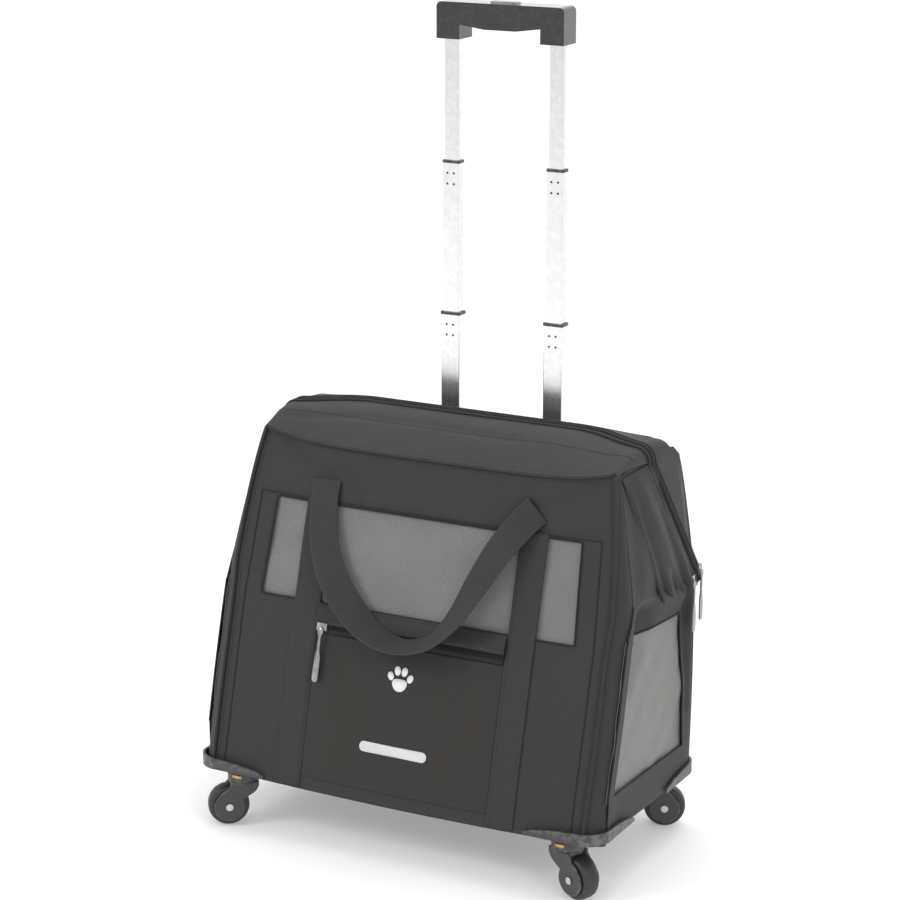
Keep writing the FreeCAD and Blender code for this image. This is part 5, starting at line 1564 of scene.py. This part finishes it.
@dataclass
class MouthZip:
    """The zip that closes the mouth: tapes, teeth and stitched edges along the ridge and down the ends."""

    form: BagForm
    finish: Wardrobe
    top: TopAndBack
    ends: Ends

    def ridge(self) -> tuple[Array, Array, Array]:
        """The zip's line along the ridge, the way across it and the way it faces."""
        form = self.form
        edge = form.ridge_half + self.top.roll * (np.pi / 2 - 1)
        x = np.linspace(-edge, edge, 260)
        line = self.top.flap_point(x, 1.0, 0.3)
        along = tangents(line)
        out = unit(self.top.flap_point(x, 1.0, 2.0) - self.top.flap_point(x, 1.0, 0.0))
        across = unit(np.cross(out, along))
        return line, across, out

    def end(self, side: int) -> tuple[Array, Array, Array]:
        """The zip's line down an end."""
        _, seam = self.form.end_lines()
        yz = spline(seam, 90)
        lift = np.interp(np.arange(90), [0, 20, 89], [0.6, 3.6, 4.4])
        line = self.form.end_point(side, yz[:, 0], yz[:, 1])
        line[:, 0] = line[:, 0] - side * self.form.end_depth(yz[:, 0], yz[:, 1]) + side * lift
        along = tangents(line)
        out = unit(np.cross(np.cross(along, [side, 0.0, 0.0]), along))
        across = unit(np.cross(out, along)) * side
        return line, across, out

    def build(self) -> None:
        """Makes the zip's pieces."""
        runs = {"ridge": self.ridge(), "left": self.end(LEFT), "right": self.end(RIGHT)}
        for place, (line, across, out) in runs.items():
            forward = np.sign(-across[len(line) // 2, 1])
            for half, name in ((1, "front"), (-1, "back")):
                toward = across * half * forward
                self.half_zip(place, name, line, toward, out)
        log.info("mouth zip: tapes, teeth and edges")

    def half_zip(self, place: str, name: str, line: Array, toward: Array, out: Array) -> None:
        """One half of the zip along one run."""
        tape = ribbon(
            f"zip_tape_{place}_{name}", line + toward * 5.2, toward, out, 9.0, 0.8, self.finish["tape"]
        )
        raised = line + out * 0.5
        teeth = zip_teeth(f"zip_teeth_{place}_{name}", raised, toward, out, 1, self.finish["tape"])
        hem = tube(
            f"zip_edge_{place}_{name}", line + toward * 8.0 + out * 0.5, 1.1, self.finish["piping"], 8,
            tuple(out.mean(0)),
        )
        pale = name == "front" and place != "ridge"
        thread = self.finish["pale_thread" if pale else "thread"]
        row = stitches(
            f"zip_stitch_{place}_{name}", line + toward * 10.5 + out * 0.5, out, thread, wide=0.6
        )
        for piece, slot in ((tape, "shell_fabric"), (teeth, "zip_metal"), (hem, "shell_fabric"),
                            (row, "shell_fabric")):
            if name == "back":
                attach(piece, "bag")
            elif place == "ridge":
                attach(piece, "top_flap")
            else:
                self.ends.swing(piece, slot)
                continue


@dataclass
class Handles:
    """The two webbing carry handles."""

    form: BagForm
    finish: Wardrobe
    width: float = 34.0
    wall: float = 2.6

    def build(self) -> None:
        """Makes the front and the back handle."""
        self.front()
        self.back()
        log.info("carry handles")

    def front(self) -> None:
        """The front loop: its strands run to a V and turn edge-on at the bottom."""
        rows = spline([
            (-125, 339, 3.0, 0), (-124.5, 318, 3.6, 0), (-121, 290, 5.5, 2), (-111, 258, 9, 8),
            (-94, 230, 13, 18), (-70, 204, 17, 34), (-38, 181, 20, 54), (-2, 172, 21, 64),
            (34, 183, 22, 56), (60, 212, 22, 38), (80, 252, 20, 20), (98, 290, 15, 8),
            (114, 318, 9, 2), (125, 335, 5.0, 0), (129, 340, 4.0, 0),
        ], 220)
        x, s, lift, turn = rows.T
        path = self.form.front_point(x, s, lift)
        along = tangents(path)
        angle = np.radians(turn)[:, None]
        level = unit(np.cross(along, self.form.normal))
        out = unit(np.cross(level, along))
        across = level * np.cos(angle) + out * np.sin(angle)
        facing = unit(np.cross(along, across))
        webbing = self.finish["webbing"]
        piece = ribbon("front_handle_strap", path, across, facing, self.width, self.wall, webbing)
        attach(piece, "front_carry_handle")
        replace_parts(piece, "handle_front")

    def back(self) -> None:
        """The back loop, hanging flat behind the cover of the trolley tubes."""
        low, high = box_mm("handle_back")
        middle = (high[0] - self.width / 2)
        top = joint_mm("back_handle_swing")
        drop = high[2] - low[2]
        points = [
            (-middle, 0, 0), (-middle, -50, 6), (-middle + 6, -100, 12), (-middle + 30, -140, 18),
            (-middle + 62, -drop + self.width / 2 + 6, 21), (0, -drop + self.width / 2 + 2, 22),
            (middle - 62, -drop + self.width / 2 + 6, 21), (middle - 30, -140, 18), (middle - 6, -100, 12),
            (middle, -50, 6), (middle, 0, 0),
        ]
        x, z, out = spline(points, 200).T
        path = np.stack([x, top[1] + 1.5 + out, high[2] - 2 + z], axis=-1)
        along = tangents(path)
        facing = np.broadcast_to(unit(np.array([0.0, 1.0, 0.12])), path.shape)
        across = unit(np.cross(along, facing))
        facing = unit(np.cross(across, along))
        webbing = self.finish["webbing"]
        piece = ribbon("back_handle_strap", path, across, facing, self.width, self.wall, webbing)
        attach(piece, "back_carry_handle")
        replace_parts(piece, "handle_back")


@dataclass
class TrolleySleeve:
    """The cloth sleeve over the lower tubes, at the back."""

    finish: Wardrobe
    rounding: float = 0.3

    def ring(self, z: float, swell: float) -> Array:
        """The sleeve's rounded section at a height, swollen outwards between its ends."""
        low, high = box_mm("trolley_cover")
        middle, half = (low + high) / 2, (high - low) / 2
        turn = np.linspace(0, 2 * np.pi, 96, endpoint=False)
        x = (half[0] - 1.2 + 0.8 * swell) * np.sign(np.cos(turn)) * np.abs(np.cos(turn)) ** self.rounding
        y = (half[1] - 0.4) * np.sign(np.sin(turn)) * np.abs(np.sin(turn)) ** self.rounding
        bow = 1.1 * swell * np.clip(np.sin(turn), 0, 1) * np.cos(x / half[0] * np.pi / 2)
        hollow = 0.9 * np.clip(np.sin(turn), 0, 1) * np.exp(-((x / 24) ** 2))
        wave = 0.5 * swell * ripple(x, np.full_like(x, z), 120, 61)
        y = y + (bow - hollow + wave) * np.clip(np.sin(turn), 0, 1)
        return np.stack([middle[0] + x, middle[1] + y, np.full_like(x, z)], axis=-1)

    def build(self) -> None:
        """Makes the sleeve, its two hems and the stitches along them."""
        low, high = box_mm("trolley_cover")
        z = np.linspace(low[2] + 0.5, high[2] - 0.3, 70)
        share = (z - z[0]) / (z[-1] - z[0])
        rings = np.array([self.ring(level, math.sin(math.pi * s) ** 0.5) for level, s in zip(z, share)])
        faces = grid_faces(len(rings), rings.shape[1], closed=True)
        inside = tuple((low + high) / 2)
        uv = np.stack(np.broadcast_arrays(rings[..., 0], rings[..., 2]), axis=-1) * MM
        sleeve = put_mesh("trolley_sleeve", rings, faces, self.finish["shell"], uv, inside)
        thicken(sleeve, 1.0)
        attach(sleeve, "bag")
        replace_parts(sleeve, "trolley_cover")
        for name, level in (("low", z[0] + 9), ("high", z[-1] - 9)):
            loop = self.ring(level, 0.35)
            loop = loop[loop[:, 1] > rings[..., 1].mean()] + np.array([0, 0.35, 0])
            loop = loop[np.argsort(loop[:, 0])]
            row = stitches(f"sleeve_stitch_{name}", loop, (0, 1, 0), self.finish["thread"])
            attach(row, "bag")
        log.info("trolley sleeve")


@dataclass
class Pull:
    """A zip pull: an eye, a thin neck and a wider rounded end."""

    node: str
    body: str
    finish: Wardrobe

    def build(self) -> None:
        """Makes the pull inside the frame's own box for it."""
        low, high = box_mm(self.node)
        size = high - low
        thin = int(np.argmin(size))
        if self.node == "pocket_pull":
            wide = 0
            down = np.array([0, -math.sin(BagForm().lean), -math.cos(BagForm().lean)])
            out = BagForm().normal
            start = np.array([(low[0] + high[0]) / 2, low[1], high[2]]) + np.array([0, 0, -1.0])
            start[1] = high[1] - 1.2
            long = size[2] / math.cos(BagForm().lean) - 2.5
        else:
            wide, out, down = 1, np.eye(3)[thin], np.array([0, 0, -1.0])
            start = np.array([(low[0] + high[0]) / 2, (low[1] + high[1]) / 2, high[2]])
            long = size[2]
        half = size[wide] / 2
        side = np.eye(3)[wide]
        right = spline([
            (0.0, 0.0), (half * 0.75, 1.2), (half, 4.0), (half * 0.8, 7.2), (half * 0.42, 10.0),
            (half * 0.40, 20.0), (half * 0.5, 26.0), (half * 0.9, 33.0), (half, 40.0),
            (half, long - 5.0), (half * 0.75, long - 1.3), (0.0, long),
        ], 60)
        outline = np.concatenate([right, (right * np.array([-1, 1]))[-2:0:-1]])
        flat = start + outline[:, :1] * side + outline[:, 1:] * down
        rings = [flat + (flat.mean(0) - flat) * inset + out * lift
                 for lift, inset in ((-0.9, 0.02), (-0.6, 0.0), (0.6, 0.0), (0.9, 0.02))]
        piece = loft(f"{self.node}_tab", np.array(rings), self.finish["zip_metal"])
        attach(piece, self.body)
        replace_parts(piece, self.node)


@dataclass
class Trolley:
    """The small marks on the tubes: pairs of dark rivets under each collar."""

    finish: Wardrobe
    centre: float = 63.5
    drops: tuple = (11.0, 23.0)
    apart: float = 4.0
    radius: float = 1.3

    def build(self) -> None:
        """Makes the rivets of each visible tube stage."""
        levels = {
            "handle_stage1": ("collars_stage1", "stage1_tubes"),
            "handle_stage2": ("collars_stage2", "stage2_tubes"),
        }
        turn = np.linspace(0, 2 * np.pi, 14, endpoint=False)
        for body, (collar, tubes) in levels.items():
            face = box_mm(tubes)[0][1]
            level = box_mm(collar)[0][2]
            rings, faces = [], []
            for side in (LEFT, RIGHT):
                for drop in self.drops:
                    for hand in (LEFT, RIGHT):
                        x = side * self.centre + hand * self.apart + self.radius * np.cos(turn)
                        z = level - drop + self.radius * np.sin(turn)
                        for lift in (-0.3, 0.12):
                            rings.append(np.stack([x, np.full_like(x, face - lift), z], axis=-1))
            points = np.array(rings).reshape(-1, 3)
            for k in range(len(rings) // 2):
                a = k * 28
                faces += [[a + i, a + (i + 1) % 14, a + 14 + (i + 1) % 14, a + 14 + i] for i in range(14)]
                faces += [list(range(a + 13, a - 1, -1)), list(range(a + 14, a + 28))]
            piece = put_mesh(f"{body}_rivets", points, faces, self.finish["hole"], smooth=False)
            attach(piece, body)
        for node in ("grip_lower", "grip_upper", "grip_button"):
            soft = frame["nodes"][node].modifiers.new("round", "BEVEL")
            soft.width, soft.segments, soft.limit_method = 1.6 * MM, 3, "ANGLE"
            soft.angle_limit = math.radians(40)
            frame["nodes"][node].data.polygons.foreach_set(
                "use_smooth", [True] * len(frame["nodes"][node].data.polygons)
            )
        log.info("tube rivets and rounded grip")


@dataclass
class Cabin:
    """What lies inside: the padded mat."""

    form: BagForm
    finish: Wardrobe

    def build(self) -> None:
        """Makes the mat: a crowned cushion whose rim is drawn in by its seam."""
        low, high = box_mm("base_mat")
        x = np.linspace(-1, 1, 70)[None, :]
        y = np.linspace(-1, 1, 44)[:, None]
        middle, half = (low + high) / 2, (high - low) / 2
        crown = ((1 - x**6) * (1 - y**6)) ** 0.5
        quilt = 0.86 + 0.14 * np.abs(np.sin(x * np.pi * 2.5) * np.sin(y * np.pi * 1.5)) ** 0.6
        rise = crown * quilt * half[2]
        px = middle[0] + x * half[0] * (1 - 0.02 * y**4)
        py = middle[1] + y * half[1] * (1 - 0.02 * x**4)
        upper = np.stack(np.broadcast_arrays(px, py, middle[2] + rise), axis=-1)
        lower = np.stack(np.broadcast_arrays(px, py, middle[2] - 0.95 * half[2] * crown**0.4), axis=-1)
        rows, columns = upper.shape[:2]
        count = rows * columns
        faces = grid_faces(rows, columns).tolist()
        faces += [[v + count for v in f[::-1]] for f in faces]
        ring = [j for j in range(columns)] + [i * columns + columns - 1 for i in range(1, rows)]
        ring += [(rows - 1) * columns + j for j in range(columns - 2, -1, -1)]
        ring += [i * columns for i in range(rows - 2, 0, -1)]
        faces += [[a, a + count, b + count, b] for a, b in zip(ring, ring[1:] + ring[:1])]
        points = np.concatenate([upper.reshape(-1, 3), lower.reshape(-1, 3)])
        uv = points[:, :2] * MM
        piece = put_mesh("padded_mat", points, faces, self.finish["lining"], uv)
        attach(piece, "bag")
        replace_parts(piece, "base_mat")
        log.info("padded mat")


@dataclass
class Caster:
    """One swivel caster: a flared boss, a smooth fork that leans back to its discs, wheel and tyre."""

    corner: str
    finish: Wardrobe
    body: str = ""
    wheel_body: str = ""
    across: int = 1
    along: int = 1
    yaw: float = 0.0
    axis: Array = field(default_factory=lambda: np.zeros(2))
    trail: float = 17.5
    level: float = 23.0
    disc: float = 17.0
    arm: tuple = (11.2, 14.2)
    head: tuple = (47.4, 52.0)

    def __post_init__(self) -> None:
        """Reads the place and the turn from the frame."""
        self.body, self.wheel_body = f"fork_body_{self.corner}", f"wheel_body_{self.corner}"
        self.axis = joint_mm(f"swivel_{self.corner}")[:2]
        low, high = box_mm(f"tyre_{self.corner}")
        middle = (low[:2] + high[:2]) / 2
        self.level = (low[2] + high[2]) / 2
        away = self.axis - middle
        self.yaw = math.atan2(away[1], away[0])
        self.trail = float(np.hypot(*away))
        self.across = 1 if self.axis[0] > 0 else -1
        self.along = 1 if self.axis[1] > 0 else -1

    def place(self, local: Array) -> Array:
        """Points given round the swivel axis, forwards along x, in the frame."""
        c, s = math.cos(self.yaw), math.sin(self.yaw)
        x, y = local[..., 0], local[..., 1]
        return np.stack([self.axis[0] + c * x - s * y, self.axis[1] + s * x + c * y, local[..., 2]], axis=-1)

    def build(self) -> None:
        """Makes the boss, the fork, the wheel and the tyre."""
        pieces = [self.hood()] + [self.fork_arm(side) for side in (LEFT, RIGHT)]
        for piece in pieces:
            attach(piece, self.body)
        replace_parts(pieces[0], f"fork_{self.corner}")
        hub, tyre = self.wheel()
        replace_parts(hub, f"wheel_{self.corner}")
        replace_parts(tyre, f"tyre_{self.corner}")
        self.plate()

    def outline(self) -> Array:
        """The arm seen from the side: a neck under the head that runs into the disc round the axle."""
        turn = np.radians(np.linspace(28, -205, 44))
        disc = np.stack([-self.trail + self.disc * np.cos(turn), self.level + self.disc * np.sin(turn)], 1)
        back = spline([disc[-1], (-26.5, 38.5), (-19.5, 43.5), (-16.5, 47.5), (-15.5, 51.6)], 16)[1:]
        front = spline([(15.5, 51.6), (15.6, 46.5), (12.0, 40.5), (5.5, 36.0), disc[0]], 18)[:-1]
        top = np.stack([np.linspace(-15.5, 15.5, 9)[1:-1], np.full(7, 51.6)], 1)
        return np.concatenate([front, disc, back, top])

    def fork_arm(self, side: int) -> bpy.types.Object:
        """One arm: the outline raised in rings that draw in towards its outer face."""
        outline = self.outline()
        middle = np.array([-10.0, 32.0])
        near = outline - middle
        size = np.linalg.norm(near, axis=1, keepdims=True)
        rings = []
        steps = ((0.0, 0.0), (0.55, 0.0), (0.82, 0.35), (1.0, 1.2), (0.93, 2.6), (0.9, 4.5))
        for depth, inset in steps:
            flat = middle + near * (1 - inset / size)
            y = side * (self.arm[0] + (self.arm[1] - self.arm[0]) * depth)
            rings.append(np.stack([flat[:, 0], np.full(len(flat), y), flat[:, 1]], axis=-1))
        name = f"fork_arm_{self.corner}_{SIDE_NAMES[side]}"
        return loft(name, self.place(np.array(rings)), self.finish["caster"])

    def hood(self) -> bpy.types.Object:
        """The swivel head: round on top, drawn down to meet the two arms."""
        turn = np.linspace(0, 2 * np.pi, 48, endpoint=False)
        rings = []
        for z, wide, deep, power in (
            (52.0, 15.6, 15.6, 1.0), (51.6, 16.6, 16.6, 1.0), (50.4, 17.0, 17.0, 1.0),
            (48.6, 16.6, 15.6, 0.85), (self.head[0], 15.8, 14.4, 0.75),
            (self.head[0] - 0.1, 13.0, 12.0, 0.75),
        ):
            x = wide * np.sign(np.cos(turn)) * np.abs(np.cos(turn)) ** power
            y = deep * np.sign(np.sin(turn)) * np.abs(np.sin(turn)) ** power
            rings.append(np.stack([x, y, np.full_like(x, z)], axis=-1))
        return loft(f"fork_hood_{self.corner}", self.place(np.array(rings)), self.finish["caster"])

    def wheel(self) -> tuple:
        """The hub and the tyre, turned round the axle."""
        hub = self.turned("wheel_hub", [(2.7, -9.2), (5, -9.6), (7, -8.2), (12.4, -8.0), (13.9, -9.4),
                                        (13.9, 9.4), (12.4, 8.0), (7, 8.2), (5, 9.6), (2.7, 9.2)])
        tyre = self.turned("wheel_tyre", [(14.1, -9.6), (18, -9.9), (20.6, -9.3), (22.2, -7.6), (22.9, -4.8),
                                          (23, 0), (22.9, 4.8), (22.2, 7.6), (20.6, 9.3), (18, 9.9),
                                          (14.1, 9.6)])
        for piece, name, slot in ((hub, "caster", "caster_plastic"), (tyre, "tyre", "tyre_rubber")):
            piece.data.materials[0] = self.finish[name]
            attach(piece, self.wheel_body)
        return hub, tyre

    def turned(self, name: str, section: list) -> bpy.types.Object:
        """A ring turned round the axle from a section of (radius, place along the axle)."""
        radius, along = np.asarray(section, float).T
        turn = np.linspace(0, 2 * np.pi, 72, endpoint=False)[:, None]
        x = -self.trail + radius * np.cos(turn)
        z = self.level + radius * np.sin(turn)
        points = self.place(np.stack([x, np.broadcast_to(along, x.shape), z], axis=-1))
        rows, columns = points.shape[:2]
        faces = grid_faces(rows + 1, columns, closed=True) % (rows * columns)
        return put_mesh(f"{name}_{self.corner}", points, faces, self.finish["tyre"])

    def plate(self) -> None:
        """The small bright plate on the front bosses."""
        if self.along > 0:
            return
        turn = np.linspace(-0.32, 0.32, 9) - math.pi / 2 - 0.12 * self.across
        radius = 18.5
        x = self.axis[0] + radius * np.cos(turn)[None, :]
        y = self.axis[1] + radius * np.sin(turn)[None, :]
        levels = np.array([56.4, 61.6])[:, None]
        points = np.stack(np.broadcast_arrays(x, y, levels), axis=-1)
        inside = (self.axis[0], self.axis[1], 59.0)
        piece = put_grid(f"boss_plate_{self.corner}", points, self.finish["copper"], inside)
        thicken(piece, 0.6)
        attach(piece, "bag")


@dataclass
class Hardware:
    """The rigid pieces whose shape is the frame's own, with their finishes."""

    finish: Wardrobe

    def build(self) -> None:
        """Gives each shown node of the frame its finish."""
        finishes = {
            "outer_tubes": "aluminium", "stage1_tubes": "aluminium", "stage2_tubes": "aluminium",
            "stage3_tubes": "aluminium", "collars_outer": "handle", "collars_stage1": "handle",
            "collars_stage2": "handle", "top_bezel": "handle", "tube_foot": "handle",
            "grip_lower": "grip", "grip_upper": "grip", "grip_button": "button", "grip_spring": "steel",
            "front_frame": "steel", "back_frame": "steel", "frame_rivets": "steel", "swivel_pins": "steel",
            "base_board": "board", "zip_sliders": "zip_metal", "pocket_slider": "zip_metal",
        }
        for corner in CORNERS:
            finishes[f"corner_bracket_{corner}"] = "caster"
            finishes[f"axle_{corner}"] = "steel"
        for node, name in finishes.items():
            piece = frame["nodes"][node]
            piece.data.materials.clear()
            piece.data.materials.append(self.finish[name])
        log.info("hardware: %d nodes", len(finishes))


def main() -> None:
    """Builds the carrier in order."""
    logging.basicConfig(level=logging.INFO, format="%(name)s: %(message)s")
    Studio().build()
    finish = Wardrobe()
    form = BagForm()
    top, ends = TopAndBack(form, finish), Ends(form, finish)
    FrontWall(form, finish).build()
    ends.build()
    top.build()
    MouthZip(form, finish, top, ends).build()
    Handles(form, finish).build()
    Cabin(form, finish).build()
    TrolleySleeve(finish).build()
    for node, body in (("pocket_pull", "pocket_zip_pull"), ("zip_pull_front", "front_zip_pull"),
                       ("zip_pull_back", "back_zip_pull")):
        Pull(node, body, finish).build()
    Trolley(finish).build()
    for corner in CORNERS:
        Caster(corner, finish).build()
    Hardware(finish).build()


if __name__ == "__main__":
    main()
